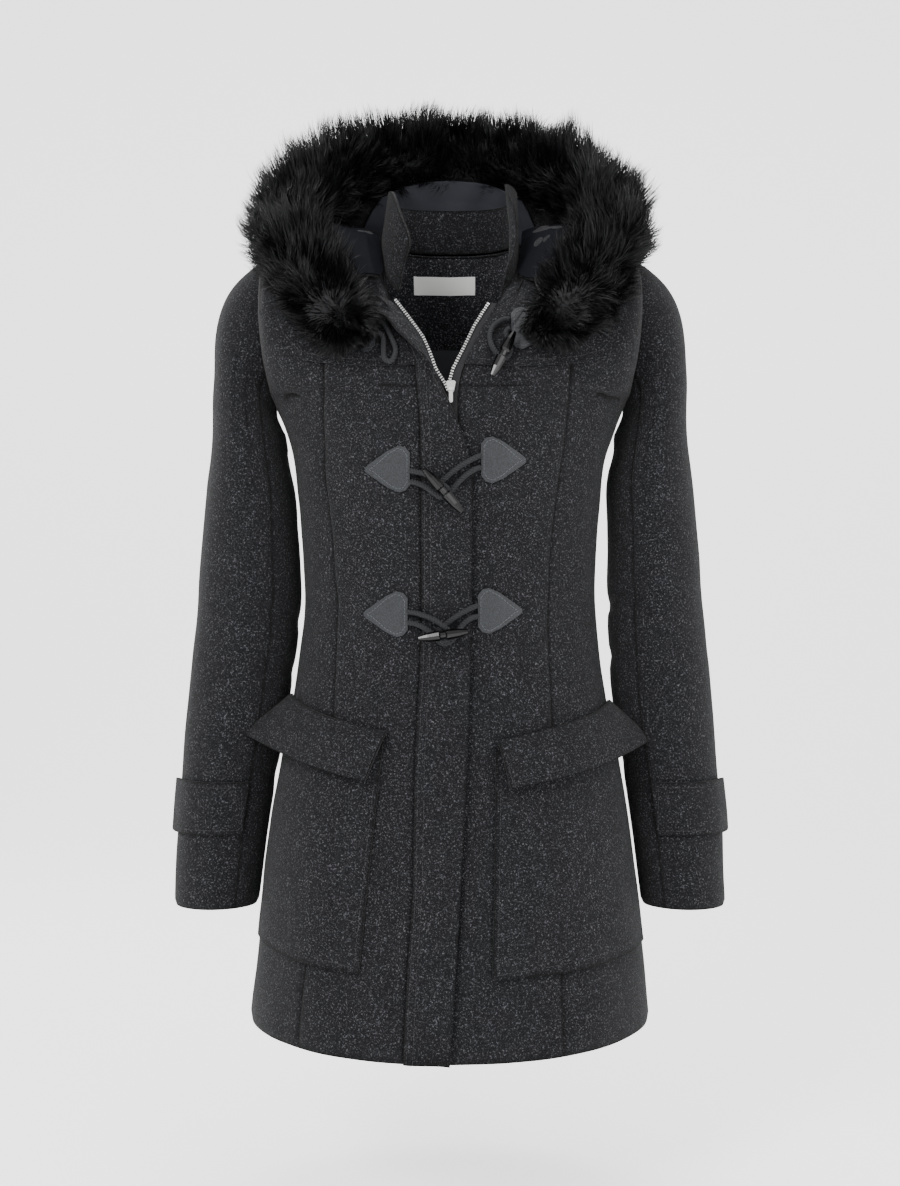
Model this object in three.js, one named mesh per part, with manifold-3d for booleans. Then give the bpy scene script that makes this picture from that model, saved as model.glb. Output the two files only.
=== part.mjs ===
// Duffle coat: wool shell of seamed panels, two-piece sleeves, hood with a fur edge, toggles and a zip.
// Millimetres, +Z up, the front faces -Y, the wearer's right side is at -X.
// The origin is the centre of the back neck seam, where the neck and shoulders hold the coat.
import * as THREE from 'three';
import Module from 'manifold-3d';
import { mergeVertices } from 'three/addons/utils/BufferGeometryUtils.js';

const wasm = await Module();
wasm.setup();

// Driving sizes
const WOOL = 2.2; // wall of the coat cloth
const SATIN = 1.0; // wall of the lining cloth
const LEATHER = 1.6; // wall of a leather patch
const SEAM_GAP = 0.3; // space between two pieces that touch
const UNDERARM_Z = -155;
const SHOULDER_TIP_X = 181;
const SHOULDER_TIP_Z = -17;
const NECK_HALF_WIDTH = 68;
const NECK_POINT_Z = 2; // where the shoulder seam meets the neck seam
const NECK_FRONT_DROP = 74;
const NECK_FRONT_DEPTH = 92;
const NECK_BACK_DEPTH = 62;
const NECK_MID_Y = 4;
const HEM_SIDE_Z = -736;
const HEM_FRONT_DROP = 12;
const HEM_BACK_DROP = 5;
const ARMHOLE_FRONT = 50; // how far the armhole reaches forward of the shoulder seam
const ARMHOLE_BACK = 46;
const SHOULDER_SEAM_SPACE = 0.4; // from the shoulder seam to each panel's edge

// The body at level sections, from the hem up to the underarm
const BODY_SECTIONS = [
  { z: -750, side: 191.5, front: 143, back: 142, square: 2.25 },
  { z: -650, side: 181.5, front: 136, back: 136, square: 2.25 },
  { z: -560, side: 171, front: 128, back: 128, square: 2.3 },
  { z: -470, side: 155, front: 118, back: 117, square: 2.3 },
  { z: -395, side: 144.5, front: 110, back: 101, square: 2.3 },
  { z: -335, side: 139.5, front: 109, back: 92, square: 2.3 },
  { z: -272, side: 142, front: 117, back: 98, square: 2.35 },
  { z: -207, side: 147.5, front: 126, back: 108, square: 2.4 },
  { z: -155, side: 168, front: 123, back: 112, square: 2.4 },
];

// The half width at the armhole seam, by share of its height
const ARMHOLE_WIDTHS = [
  { share: 0, side: 168 },
  { share: 0.25, side: 174 },
  { share: 0.55, side: 178.5 },
  { share: 1, side: 181 },
];

// Vertical seams and edges of the fronts: x at heights z, wearer's right (r) and left (l) side
const PRINCESS_SEAMS = [
  { z: -750, r: -138, l: 101 },
  { z: -669, r: -127, l: 99 },
  { z: -560, r: -116, l: 96 },
  { z: -446, r: -106.5, l: 92.5 },
  { z: -353, r: -103.5, l: 89.5 },
  { z: -275, r: -108, l: 93 },
  { z: -215, r: -115.5, l: 102 },
  { z: -130, r: -114, l: 109 },
  { z: 20, r: -116, l: 116 },
];
const BACK_SEAMS = [
  { z: -750, x: 92 },
  { z: -560, x: 78 },
  { z: -395, x: 66 },
  { z: -300, x: 68 },
  { z: -155, x: 92 },
  { z: 20, x: 104 },
];
// Where the placket is sewn to the right front
const PLACKET_SEAM = [
  { z: -760, x: -41.5 },
  { z: -672, x: -38 },
  { z: -600, x: -33 },
  { z: -480, x: -31 },
  { z: -405, x: -27 },
  { z: -340, x: -25.5 },
  { z: -200, x: -26 },
  { z: -131, x: -31 },
  { z: -105, x: -42 },
  { z: -85, x: -51 },
  { z: -50, x: -60 },
];
// The zip edge of the left front: under the placket at the hem, straight along the zip, open in a V above the slider
const ZIP_EDGE_LEFT = [
  { z: -760, x: -13 },
  { z: -700, x: 7 },
  { z: -160, x: 7 },
  { z: -149, x: 8.5 },
  { z: -136, x: 11.5 },
  { z: -117, x: 20 },
  { z: -95, x: 30 },
  { z: -71, x: 44 },
  { z: -50, x: 52 },
];
// The right half of the zip above the slider: the line of its teeth
const TEETH_RIGHT = [
  { z: -760, x: -1.6 },
  { z: -156, x: -1.6 },
  { z: -149, x: -4.5 },
  { z: -136, x: -12.6 },
  { z: -121, x: -18 },
  { z: -107, x: -24 },
  { z: -89, x: -36 },
  { z: -66, x: -52 },
];
const TEETH_LEFT = [
  { z: -760, x: 1.6 },
  { z: -156, x: 1.6 },
  { z: -149, x: -1 },
  { z: -136, x: 2.6 },
  { z: -117, x: 12 },
  { z: -95, x: 22 },
  { z: -71, x: 36 },
];
// Cross-sections of the placket: x and the height above the cloth of its seam, middle, turn and free edge.
// Above the slider the free edge is turned back over the front.
const PLACKET_SECTIONS = [
  { z: -760, midX: -21, mid: 3.2, turnX: -9, turn: 3.4, edgeX: -1.2, edge: 3.4 },
  { z: -672, midX: -18, mid: 3.2, turnX: -4, turn: 3.4, edgeX: 4.6, edge: 3.6 },
  { z: -560, midX: -13, mid: 3.2, turnX: 1, turn: 3.4, edgeX: 11, edge: 3.8 },
  { z: -405, midX: -6, mid: 3.2, turnX: 8, turn: 3.4, edgeX: 17.5, edge: 4 },
  { z: -234, midX: -5, mid: 3.4, turnX: 9, turn: 4, edgeX: 19.5, edge: 4.6 },
  { z: -200, midX: -9, mid: 4.4, turnX: 4, turn: 5.6, edgeX: 12.5, edge: 6.5 },
  { z: -176, midX: -15, mid: 6, turnX: -5, turn: 8.5, edgeX: 2.4, edge: 10.5 },
  { z: -160, midX: -19, mid: 6.5, turnX: -9, turn: 9.5, edgeX: -4.5, edge: 13.5 },
  { z: -137, midX: -24, mid: 6, turnX: -15, turn: 9.5, edgeX: -18, edge: 17 },
  { z: -121, midX: -28, mid: 5.5, turnX: -20, turn: 9, edgeX: -33, edge: 18 },
  { z: -107, midX: -34, mid: 5.5, turnX: -27, turn: 9, edgeX: -48, edge: 19 },
  { z: -78, midX: -53, mid: 5.5, turnX: -50, turn: 9, edgeX: -76, edge: 20 },
];
const PLACKET_TOP_Z = -78;

// The lower edge of the shaped yoke flaps, by x, and where their outer edge runs
const YOKE_EDGE = [
  { x: 0, z: -131 },
  { x: 60, z: -133 },
  { x: 95, z: -131 },
  { x: 120, z: -128 },
  { x: 140, z: -122 },
  { x: 154, z: -106 },
  { x: 164, z: -78 },
  { x: 172, z: -40 },
];
const BACK_YOKE_SIDE = 172;
const BACK_YOKE_EDGE_Z = -118;

// The sleeve at level sections below the armhole. The inner x differs on the right (r) and the left (l).
const SLEEVE_SECTIONS = [
  { z: -631, outer: 263.5, innerR: 183.5, innerL: 183.5, depth: 44, midY: 0 },
  { z: -560, outer: 261, innerR: 175, innerL: 175, depth: 46, midY: 4 },
  { z: -500, outer: 256, innerR: 165.5, innerL: 165.5, depth: 48, midY: 6 },
  { z: -440, outer: 251.5, innerR: 155.5, innerL: 157, depth: 50, midY: 7 },
  { z: -400, outer: 248, innerR: 149.5, innerL: 154, depth: 51, midY: 7 },
  { z: -340, outer: 243, innerR: 143.5, innerL: 152, depth: 53, midY: 6 },
  { z: -290, outer: 238.5, innerR: 145, innerL: 151.5, depth: 55, midY: 4 },
  { z: -228, outer: 232, innerR: 150.5, innerL: 151, depth: 58, midY: 2 },
  { z: -190, outer: 227, innerR: 158, innerL: 158, depth: 59, midY: 0 },
];
const SLEEVE_TOP_Z = -190;
const CUFF_Z = -631;
const FRONT_SLEEVE_SEAM = 124; // degrees round from the outer side, through the front
const BACK_SLEEVE_SEAM = 236;

// The fur edge of the hood: points of its middle line on one side, from the front end to the centre back
const FUR_LINE = [
  { x: 84, y: -128, z: -86, radius: 25 },
  { x: 108, y: -112, z: -68, radius: 35 },
  { x: 139, y: -66, z: -28, radius: 38 },
  { x: 152, y: -18, z: 25, radius: 38.5 },
  { x: 138, y: 30, z: 62, radius: 42 },
  { x: 94, y: 74, z: 99, radius: 41 },
  { x: 50, y: 94, z: 116, radius: 37.5 },
  { x: 0, y: 100, z: 121, radius: 37 },
];

// The hood hangs as a pouch. Along one path from the fur edge (0) to the neck seam (1):
// how far it stands out and how far it falls, as shares of the whole.
const POUCH_PATH = [
  { along: 0, out: 0, fall: 0 },
  { along: 0.12, out: 0.42, fall: 0.12 },
  { along: 0.3, out: 0.93, fall: 0.5 },
  { along: 0.43, out: 1, fall: 0.88 },
  { along: 0.5, out: 0.94, fall: 1 },
  { along: 0.57, out: 0.84, fall: 0.96 },
  { along: 0.7, out: 0.68, fall: 0.72 },
  { along: 0.85, out: 0.5, fall: 0.38 },
  { along: 1, out: 0, fall: 0 },
];
// The whole stand-out and fall of the pouch, from the centre back (0) round to the front end (1)
const POUCH_SIZES = [
  { round: 0, out: 70, fall: 232 },
  { round: 0.2, out: 62, fall: 200 },
  { round: 0.34, out: 44, fall: 126 },
  { round: 0.46, out: 16, fall: 46 },
  { round: 0.6, out: 3, fall: 10 },
  { round: 1, out: 1, fall: 2 },
];

// The collar stand above the neck seam, from the right front end round the back to the left front end.
// round is the place on the neck seam, in turns of the neck from the centre back.
const COLLAR_SECTIONS = [
  { round: -0.81, leanX: 10, leanY: -3, topZ: -12 },
  { round: -0.74, leanX: 9.5, leanY: -5, topZ: 10 },
  { round: -0.64, leanX: 8, leanY: 0, topZ: 37 },
  { round: -0.5, leanX: 7, leanY: 0, topZ: 44 },
  { round: -0.25, leanX: 1, leanY: -1, topZ: 45 },
  { round: 0, leanX: 0, leanY: -3, topZ: 45 },
  { round: 0.25, leanX: -1, leanY: -1, topZ: 45 },
  { round: 0.5, leanX: -2, leanY: 0, topZ: 46 },
  { round: 0.64, leanX: -9, leanY: 0, topZ: 46 },
  { round: 0.74, leanX: 4, leanY: -4, topZ: 18 },
  { round: 0.81, leanX: 14, leanY: -3, topZ: -10 },
];
const COLLAR_WALL = 3;

// Pockets and their flaps on the fronts: x of the inner edge and heights
const POCKETS = [
  { side: -1, innerTopX: 60, innerLowX: 80, topZ: -470, lowZ: -672, lowOuterZ: -655 },
  { side: 1, innerTopX: 41, innerLowX: 37, topZ: -470, lowZ: -677, lowOuterZ: -660 },
];
const FLAPS = [
  { side: -1, innerTopX: 56, innerLowX: 71, innerZ: -459, outerZ: -430, fall: 44, flare: 24 },
  { side: 1, innerTopX: 42, innerLowX: 51, innerZ: -466, outerZ: -436, fall: 43, flare: 18 },
];
const POCKET_OUTER_TURN = 0.86; // share of the way from the centre front to the side seam
const POCKET_BULGE = 5;

// Toggle fastenings: the patches, the toggle and its cord, by place on the front
const PATCHES = [
  { name: 'patch_right_1', edgeX: -67, z: -100, side: -1 },
  { name: 'patch_right_2', edgeX: -35.5, z: -225, side: -1 },
  { name: 'patch_right_3', edgeX: -38, z: -354, side: -1 },
  { name: 'patch_left_1', edgeX: 55, z: -97, side: 1 },
  { name: 'patch_left_2', edgeX: 27.5, z: -217, side: 1 },
  { name: 'patch_left_3', edgeX: 25, z: -351, side: 1 },
];
const PATCH_LENGTH = 40;
const PATCH_HALF_HEIGHTS = [
  { along: 0, half: 14 },
  { along: 0.1, half: 19 },
  { along: 0.25, half: 20.5 },
  { along: 0.5, half: 16 },
  { along: 0.75, half: 9 },
  { along: 0.93, half: 4 },
  { along: 1, half: 1.5 },
];
const TOGGLES = [
  { name: 'toggle_2', x: -5.8, z: -242, above: 20.4, length: 52, turn: -48 },
  { name: 'toggle_3', x: -5.8, z: -372.6, above: 20.4, length: 46, turn: 8 },
  { name: 'toggle_1', x: 45.6, z: -127.5, above: 13, length: 50, turn: 65 },
];
const TOGGLE_RADIUS = 5;
const TOGGLE_WAIST = 3.4;
const TOGGLE_PROFILE = [
  { along: -1, radius: 0 },
  { along: -0.96, radius: 2.2 },
  { along: -0.6, radius: 4.2 },
  { along: -0.16, radius: TOGGLE_RADIUS },
  { along: -0.1, radius: TOGGLE_WAIST },
  { along: 0.1, radius: TOGGLE_WAIST },
  { along: 0.16, radius: TOGGLE_RADIUS },
  { along: 0.6, radius: 4.2 },
  { along: 0.96, radius: 2.2 },
  { along: 1, radius: 0 },
];
const CORD_RADIUS = 2.5;
const CORD_STEP = 9;
// Routes of the cords, chosen by hand: x, z and the height of the cord's middle above the cloth
const CORD_ROUTES = {
  cord_toggle_2: [
    [-34.8, -226.5, 3.2], [-29, -227.5, 4.8], [-22, -229, 7], [-15.5, -232, 9.8], [-8.5, -236.5, 12],
    [-2.5, -240.5, 12.4], [-1.5, -245.5, 12.4], [-6.5, -248, 12.2], [-13, -245.5, 11.8], [-21, -240, 8.2],
    [-29, -237, 5], [-34.8, -236, 3.2],
  ],
  cord_loop_2: [
    [26.7, -213.5, 3.4], [20.5, -216, 7.6], [14, -219.5, 7.4], [6, -224.5, 6.6], [-2, -231, 6.4],
    [-9, -237.5, 6.3], [-12.5, -243.5, 6.3], [-9.5, -249, 6.3], [-3, -247.5, 6.3], [4, -240, 6.4],
    [12, -231.5, 7], [20.5, -225.5, 7.6], [26.7, -223.5, 3.4],
  ],
  cord_toggle_3: [
    [-37.3, -352, 3.2], [-30, -353, 4.8], [-22, -355.5, 7], [-14, -359, 10], [-6.5, -364, 12.2],
    [-0.5, -369.5, 12.4], [-1.5, -376, 12.4], [-7.5, -377.5, 12.2], [-14, -372.5, 11.4], [-22, -366.5, 8],
    [-30, -362.8, 5], [-37.3, -361.5, 3.2],
  ],
  cord_loop_3: [
    [24.3, -346.3, 3.4], [18.5, -348.5, 7.6], [12, -352, 7.2], [4, -357, 6.6], [-4, -363, 6.4],
    [-10, -369.5, 6.3], [-11, -376.5, 6.3], [-5, -380.5, 6.3], [2, -377, 6.3], [7, -369, 6.5],
    [12.5, -362, 7], [18.5, -357.5, 7.6], [24.3, -355.8, 3.4],
  ],
  cord_toggle_1: [
    [52.8, -92, 6.2], [46, -93.5, 6.4], [38.5, -99, 6.2], [35, -108, 6.2], [37, -118, 6.2],
    [42.5, -126, 6.4], [49, -128, 6.4], [53, -122, 6.2], [52, -113, 6.2], [49.2, -106.5, 6.2], [50.2, -103, 6.2], [52.8, -101.2, 6.2],
  ],
  cord_loop_1: [
    [-64.8, -94, 6.4], [-59.5, -96.5, 6.6], [-55, -103, 6.6], [-50.5, -112, 6.6], [-47.5, -122, 6.6],
    [-51, -131, 6.6], [-57.5, -129, 6.6], [-59, -120, 6.6], [-59.5, -112, 6.6], [-61, -107.5, 6.6],
    [-64.8, -105.5, 6.4],
  ],
};

const ARMHOLE_SPACE = 0.4; // between a sleeve's top edge and the body
const YOKE_WALL = 1.8;
const YOKE_SPACE = 0.6; // between a yoke and the panels under it
const PLACKET_WALL = 2.6;
const PLACKET_UPPER_ROWS = [-222, -207, -194, -182, -171, -160, -149, -138, -128, -118, -108, -98, -88, PLACKET_TOP_Z];
const FLAP_WALL = 2.6;
const FACING_WALL = 1.2;
const FACING_LOW_Z = -88;
const FACING_HALF = 64;
const LINING_HALF = 86;
const LINING_LOW_Z = -230;
const LABEL_WALL = 0.8;
const LABEL_LOW_Z = -36;
const LABEL_HEIGHT = 17;
const LABEL_FROM_X = -36;
const LABEL_WIDTH = 61;
const COLLAR_SPACE = 1.8;
const COLLAR_LIFT = 2.6;
const TAB_END_DEGREES = -12;
const TAB_HEIGHT = 50;
const TAB_MID_Z = -537;
const TAB_LIFT = 4.5;
const TAB_WALL = 2.4;
const POCKET_BELOW_SEAM = 11;
const POCKET_SPACE = 0.8;
const ZIP_TOP_Z = -72;
const TAPE_WIDTH = 8;
const BEAD_HALF = 1.4;
const SLIDER_X = 0.8;
const SLIDER_Z = -152;
const SLIDER_HALF = 5; // half its length
const PIN_RADIUS = 0.6;
const PIN_Y = -3.2; // the pin, from the slider's middle
const PIN_OUT = 4.6;
const EYE_RADIUS = 1.5;
const PULL_LENGTH = 12;
const HOOD_SPACE = 4.5; // from the neck seam out to the foot of the hood
const HOOD_COLUMNS = 10;
const HOOD_ROWS = [0, 0.06, 0.13, 0.22, 0.31, 0.39, 0.45, 0.5, 0.55, 0.63, 0.72, 0.84, 1];
const HOOD_CLEAR = 3.9;
const LINING_SPACE = 1.3;
const POUCH_LINING_IN = 4.6;
const POUCH_LINING_DOWN = 3.6;
const LINED_ROWS = 6; // rows of the pouch that are lined at the back
const LINED_COLUMNS = [7, 13]; // columns that the back piece of the lining spans
const LINING_SIDE = 3; // columns of the lining's side pieces
const HOOD_INSIDE = -1; // the inner side of the grid against its normal
const FUR_SPACE = 0.6; // from the pile to the cloth that it meets
const HOOD_END_ROUND = 0.84;
const NECK_END_ROUND = 0.81;
const FUR_REST_SHARE = 0.62; // height of the fur's middle over the cloth, in radii
const FUR_SLIVER = 0.3; // details below this are smoothed away after cuts
const FUR_RINGS = 28;
const FUR_SIDES = 12;

// Materials
const wool = { color: 0x2b2b2e, roughness: 0.95, metalness: 0 };
const fur = { color: 0x0b0b0d, roughness: 0.9, metalness: 0 };
const satin = { color: 0x2a2b30, roughness: 0.4, metalness: 0 };
const leather = { color: 0x33383d, roughness: 0.55, metalness: 0 };
const horn = { color: 0x101114, roughness: 0.15, metalness: 0 };
const rope = { color: 0x0d0d0e, roughness: 0.7, metalness: 0 };
const zipTape = { color: 0x111112, roughness: 0.85, metalness: 0 };
const nickel = { color: 0xc9cacb, roughness: 0.3, metalness: 1 };
const labelCloth = { color: 0xf2f1ee, roughness: 0.7, metalness: 0 };

const coat = new THREE.Group();

function addPiece(name, geometry, finish) {
  const mesh = new THREE.Mesh(geometry, new THREE.MeshStandardMaterial(finish));
  mesh.name = name;
  coat.add(mesh);
  return mesh;
}

// Small maths

function mix(a, b, share) {
  return a + (b - a) * share;
}

function clamp(value, low, high) {
  return Math.min(high, Math.max(low, value));
}

function smooth(low, high, value) {
  const share = clamp((value - low) / (high - low), 0, 1);
  return share * share * (3 - 2 * share);
}

function steps(count, from = 0, to = 1) {
  return Array.from({ length: count + 1 }, (_, i) => mix(from, to, i / count));
}

// A smooth value from a table that is sorted by one of its columns, without overshoot
function lookUp(table, key, column, at) {
  const last = table.length - 1;
  if (at <= table[0][key]) return table[0][column];
  if (at >= table[last][key]) return table[last][column];
  let i = 0;
  while (table[i + 1][key] < at) i += 1;
  const slope = (k) => (table[k + 1][column] - table[k][column]) / (table[k + 1][key] - table[k][key]);
  const tangent = (k) => {
    if (k === 0) return slope(0);
    if (k === last) return slope(last - 1);
    const before = slope(k - 1);
    const after = slope(k);
    return before * after <= 0 ? 0 : (2 * before * after) / (before + after);
  };
  const width = table[i + 1][key] - table[i][key];
  const s = (at - table[i][key]) / width;
  const s2 = s * s;
  const s3 = s2 * s;
  return (
    (2 * s3 - 3 * s2 + 1) * table[i][column] +
    (s3 - 2 * s2 + s) * width * tangent(i) +
    (-2 * s3 + 3 * s2) * table[i + 1][column] +
    (s3 - s2) * width * tangent(i + 1)
  );
}

// The body surface. turn runs from -2 (centre back) over 0 (centre front) to 2 (centre back again);
// -1 and 1 are the side seams and, above the underarm, the armhole seams.

function hemZ(turn) {
  const facing = Math.cos((turn * Math.PI) / 2);
  return HEM_SIDE_Z - (facing > 0 ? HEM_FRONT_DROP : HEM_BACK_DROP) * facing * facing;
}

function neckPoint(x, isBack) {
  const share = clamp(Math.abs(x) / NECK_HALF_WIDTH, 0, 1);
  const square = isBack ? 2.5 : 3.4;
  const round = Math.pow(1 - Math.pow(share, square), 1 / square);
  if (isBack) return { y: NECK_MID_Y + NECK_BACK_DEPTH * round, z: mix(NECK_POINT_Z, 0, round) };
  return {
    y: NECK_MID_Y - NECK_FRONT_DEPTH * round,
    z: NECK_POINT_Z - NECK_FRONT_DROP * Math.pow(round, 1.25),
  };
}

function topPoint(x, isBack) {
  const reach = Math.abs(x);
  if (reach < NECK_HALF_WIDTH) return neckPoint(x, isBack);
  const share = (reach - NECK_HALF_WIDTH) / (SHOULDER_TIP_X - NECK_HALF_WIDTH);
  return { y: mix(NECK_MID_Y, 7, share), z: mix(NECK_POINT_Z, SHOULDER_TIP_Z, Math.pow(share, 1.15)) };
}

function widthShare(turn, square) {
  return Math.pow(Math.abs(Math.sin((turn * Math.PI) / 2)), 2 / square);
}

function depthShare(turn, square) {
  return Math.pow(Math.abs(Math.cos((turn * Math.PI) / 2)), 2 / square);
}

const UNDERARM = BODY_SECTIONS[BODY_SECTIONS.length - 1];

function bodyTopZ(turn) {
  const isBack = Math.abs(turn) > 1;
  return topPoint(SHOULDER_TIP_X * widthShare(turn, UNDERARM.square), isBack).z;
}

function lowerBody(turn, z) {
  const isBack = Math.abs(turn) > 1;
  const square = lookUp(BODY_SECTIONS, 'z', 'square', z);
  const side = lookUp(BODY_SECTIONS, 'z', 'side', z);
  const deep = lookUp(BODY_SECTIONS, 'z', isBack ? 'back' : 'front', z);
  const y = deep * depthShare(turn, square) * (isBack ? 1 : -1);
  return new THREE.Vector3(Math.sign(turn) * side * widthShare(turn, square), y, z);
}

function upperBody(turn, z) {
  const isBack = Math.abs(turn) > 1;
  const width = widthShare(turn, UNDERARM.square);
  const top = topPoint(SHOULDER_TIP_X * width, isBack);
  const share = clamp((z - UNDERARM_Z) / (top.z - UNDERARM_Z), 0, 1);
  const overShoulder = smooth(0.3, 0.5, width);
  const fullness = mix(1 - Math.pow(share, 1.7), Math.pow(1 - Math.pow(share, 2.3), 0.62), overShoulder);
  const ringY = (isBack ? UNDERARM.back : -UNDERARM.front) * depthShare(turn, UNDERARM.square);
  const armhole = 2 * Math.sqrt(share * (1 - share)) * Math.pow(width, 4);
  const reach = armhole * (isBack ? ARMHOLE_BACK : -ARMHOLE_FRONT);
  const side = lookUp(ARMHOLE_WIDTHS, 'share', 'side', share);
  const seam = isBack ? SHOULDER_SEAM_SPACE : -SHOULDER_SEAM_SPACE;
  return new THREE.Vector3(
    Math.sign(turn) * side * width,
    mix(top.y + seam, ringY, fullness) + reach,
    mix(UNDERARM_Z, top.z, share),
  );
}

function bodyPoint(turn, z) {
  return z <= UNDERARM_Z ? lowerBody(turn, z) : upperBody(turn, z);
}

// Keeps a turn on its own side of the armhole
function onOneFace(turn, from) {
  const limit = 0.9995;
  const base = Math.abs(from);
  const low = base > 1 ? 2 - limit : 0;
  const high = base > 1 ? 2 : limit;
  return Math.sign(turn || from || 1) * clamp(Math.abs(turn), low, high);
}

function bodyNormal(turn, z) {
  const stepTurn = 0.004;
  const stepZ = 0.8;
  const topZ = bodyTopZ(turn);
  const upperZ = Math.min(z + stepZ, z > UNDERARM_Z ? Math.max(topZ - 0.02, z) : z + stepZ);
  const lowerZ = z - stepZ;
  const splits = z > UNDERARM_Z;
  const before = splits ? onOneFace(turn - stepTurn, turn) : turn - stepTurn;
  const after = splits ? onOneFace(turn + stepTurn, turn) : turn + stepTurn;
  const wrapBefore = before < -2 ? before + 4 : before;
  const wrapAfter = after > 2 ? after - 4 : after;
  const across = bodyPoint(wrapAfter, z).sub(bodyPoint(wrapBefore, z));
  const up = bodyPoint(turn, upperZ).sub(bodyPoint(turn, lowerZ));
  return across.cross(up).normalize();
}

// The point that lies a given height above the body surface
function onBody(turn, z, above) {
  const face = z > UNDERARM_Z ? onOneFace(turn, turn) : turn;
  const point = bodyPoint(face, z);
  return above === 0 ? point : point.addScaledVector(bodyNormal(face, z), above);
}

// The turn at which the surface has this x, at height z
function turnAt(x, z, isBack = false) {
  let side = UNDERARM.side;
  let square = UNDERARM.square;
  if (z <= UNDERARM_Z) {
    side = lookUp(BODY_SECTIONS, 'z', 'side', z);
    square = lookUp(BODY_SECTIONS, 'z', 'square', z);
  } else {
    for (let pass = 0; pass < 4; pass += 1) {
      const top = topPoint((SHOULDER_TIP_X * Math.abs(x)) / side, isBack);
      side = lookUp(ARMHOLE_WIDTHS, 'share', 'side', (z - UNDERARM_Z) / (top.z - UNDERARM_Z));
    }
  }
  const share = clamp(Math.abs(x) / side, 0, 1);
  const turn = (Math.asin(Math.pow(share, square / 2)) * 2) / Math.PI;
  return Math.sign(x || 1) * (isBack ? 2 - turn : turn);
}

function onFront(x, z, above) {
  return onBody(turnAt(x, z), z, above);
}

// Closed solids

// A wall between two grids of points, with its four edges closed
function wallSolid(outer, inner) {
  const rows = outer.length;
  const columns = outer[0].length;
  const positions = [];
  for (const grid of [outer, inner]) {
    for (const row of grid) {
      for (const point of row) positions.push(point.x, point.y, point.z);
    }
  }
  const at = (layer, i, j) => (layer * rows + i) * columns + j;
  const index = [];
  const quad = (a, b, c, d) => index.push(a, b, c, a, c, d);
  for (let i = 0; i < rows - 1; i += 1) {
    for (let j = 0; j < columns - 1; j += 1) {
      quad(at(0, i, j), at(0, i, j + 1), at(0, i + 1, j + 1), at(0, i + 1, j));
      quad(at(1, i, j), at(1, i + 1, j), at(1, i + 1, j + 1), at(1, i, j + 1));
    }
  }
  for (let i = 0; i < rows - 1; i += 1) {
    quad(at(0, i, 0), at(0, i + 1, 0), at(1, i + 1, 0), at(1, i, 0));
    quad(at(0, i, columns - 1), at(1, i, columns - 1), at(1, i + 1, columns - 1), at(0, i + 1, columns - 1));
  }
  for (let j = 0; j < columns - 1; j += 1) {
    quad(at(0, 0, j), at(1, 0, j), at(1, 0, j + 1), at(0, 0, j + 1));
    quad(at(0, rows - 1, j), at(0, rows - 1, j + 1), at(1, rows - 1, j + 1), at(1, rows - 1, j));
  }
  const geometry = new THREE.BufferGeometry();
  geometry.setAttribute('position', new THREE.Float32BufferAttribute(positions, 3));
  geometry.setIndex(index);
  return facingOut(geometry);
}

function signedVolume(geometry) {
  const index = geometry.index.array;
  const position = geometry.attributes.position;
  const [a, b, c] = [new THREE.Vector3(), new THREE.Vector3(), new THREE.Vector3()];
  let sum = 0;
  for (let i = 0; i < index.length; i += 3) {
    a.fromBufferAttribute(position, index[i]);
    b.fromBufferAttribute(position, index[i + 1]);
    c.fromBufferAttribute(position, index[i + 2]);
    sum += a.dot(b.cross(c)) / 6;
  }
  return sum;
}

function facingOut(geometry) {
  if (signedVolume(geometry) < 0) {
    const index = geometry.index.array;
    for (let i = 0; i < index.length; i += 3) [index[i], index[i + 1]] = [index[i + 1], index[i]];
  }
  geometry.computeVertexNormals();
  return geometry;
}

// A wall whose outer face is a grid of points made by a function of row, column and height above
function sheetSolid(rows, columns, pointAt, above, wall) {
  const layer = (height) => rows.map((row) => columns.map((column) => pointAt(row, column, height)));
  return wallSolid(layer(above), layer(above - wall));
}

function toManifold(geometry) {
  const bare = geometry.clone();
  bare.deleteAttribute('normal');
  bare.deleteAttribute('uv');
  const merged = mergeVertices(bare, 1e-4);
  return new wasm.Manifold(
    new wasm.Mesh({
      numProp: 3,
      vertProperties: new Float32Array(merged.attributes.position.array),
      triVerts: new Uint32Array(merged.index.array),
    }),
  );
}

function fromManifold(solid) {
  const mesh = solid.getMesh();
  const geometry = new THREE.BufferGeometry();
  geometry.setAttribute('position', new THREE.Float32BufferAttribute(mesh.vertProperties, 3));
  geometry.setIndex(new THREE.BufferAttribute(mesh.triVerts, 1));
  geometry.computeVertexNormals();
  return geometry;
}

function cut(geometry, ...cutters) {
  let solid = toManifold(geometry);
  for (const cutter of cutters) solid = solid.subtract(toManifold(cutter));
  return fromManifold(solid);
}

// Rows of the body panels: shares of the way from the hem (-1) over the underarm (0) to the top (1)
const LOWER_ROWS = steps(12, -1, 0);
const UPPER_ROWS = steps(8, 0, Math.PI).slice(1).map((angle) => (1 - Math.cos(angle)) / 2);
const BODY_ROWS = [...LOWER_ROWS, ...UPPER_ROWS];

function rowZ(row, turn) {
  if (row <= 0) return UNDERARM_Z + row * (UNDERARM_Z - hemZ(turn));
  return UNDERARM_Z + row * (bodyTopZ(turn) - UNDERARM_Z);
}

// A point of a panel between two edges, each a function from height to turn
function panelPoint(column, row, height) {
  let turn = column.from(UNDERARM_Z);
  let z = UNDERARM_Z;
  for (let pass = 0; pass < 5; pass += 1) {
    z = rowZ(row, turn);
    turn = mix(column.from(z), column.to(z), column.share);
  }
  return onBody(turn, z, height);
}

const HALF_GAP = SEAM_GAP / 2;

function frontEdge(table, column, shift) {
  return (z) => turnAt(lookUp(table, 'z', column, z) + shift, z);
}

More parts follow.
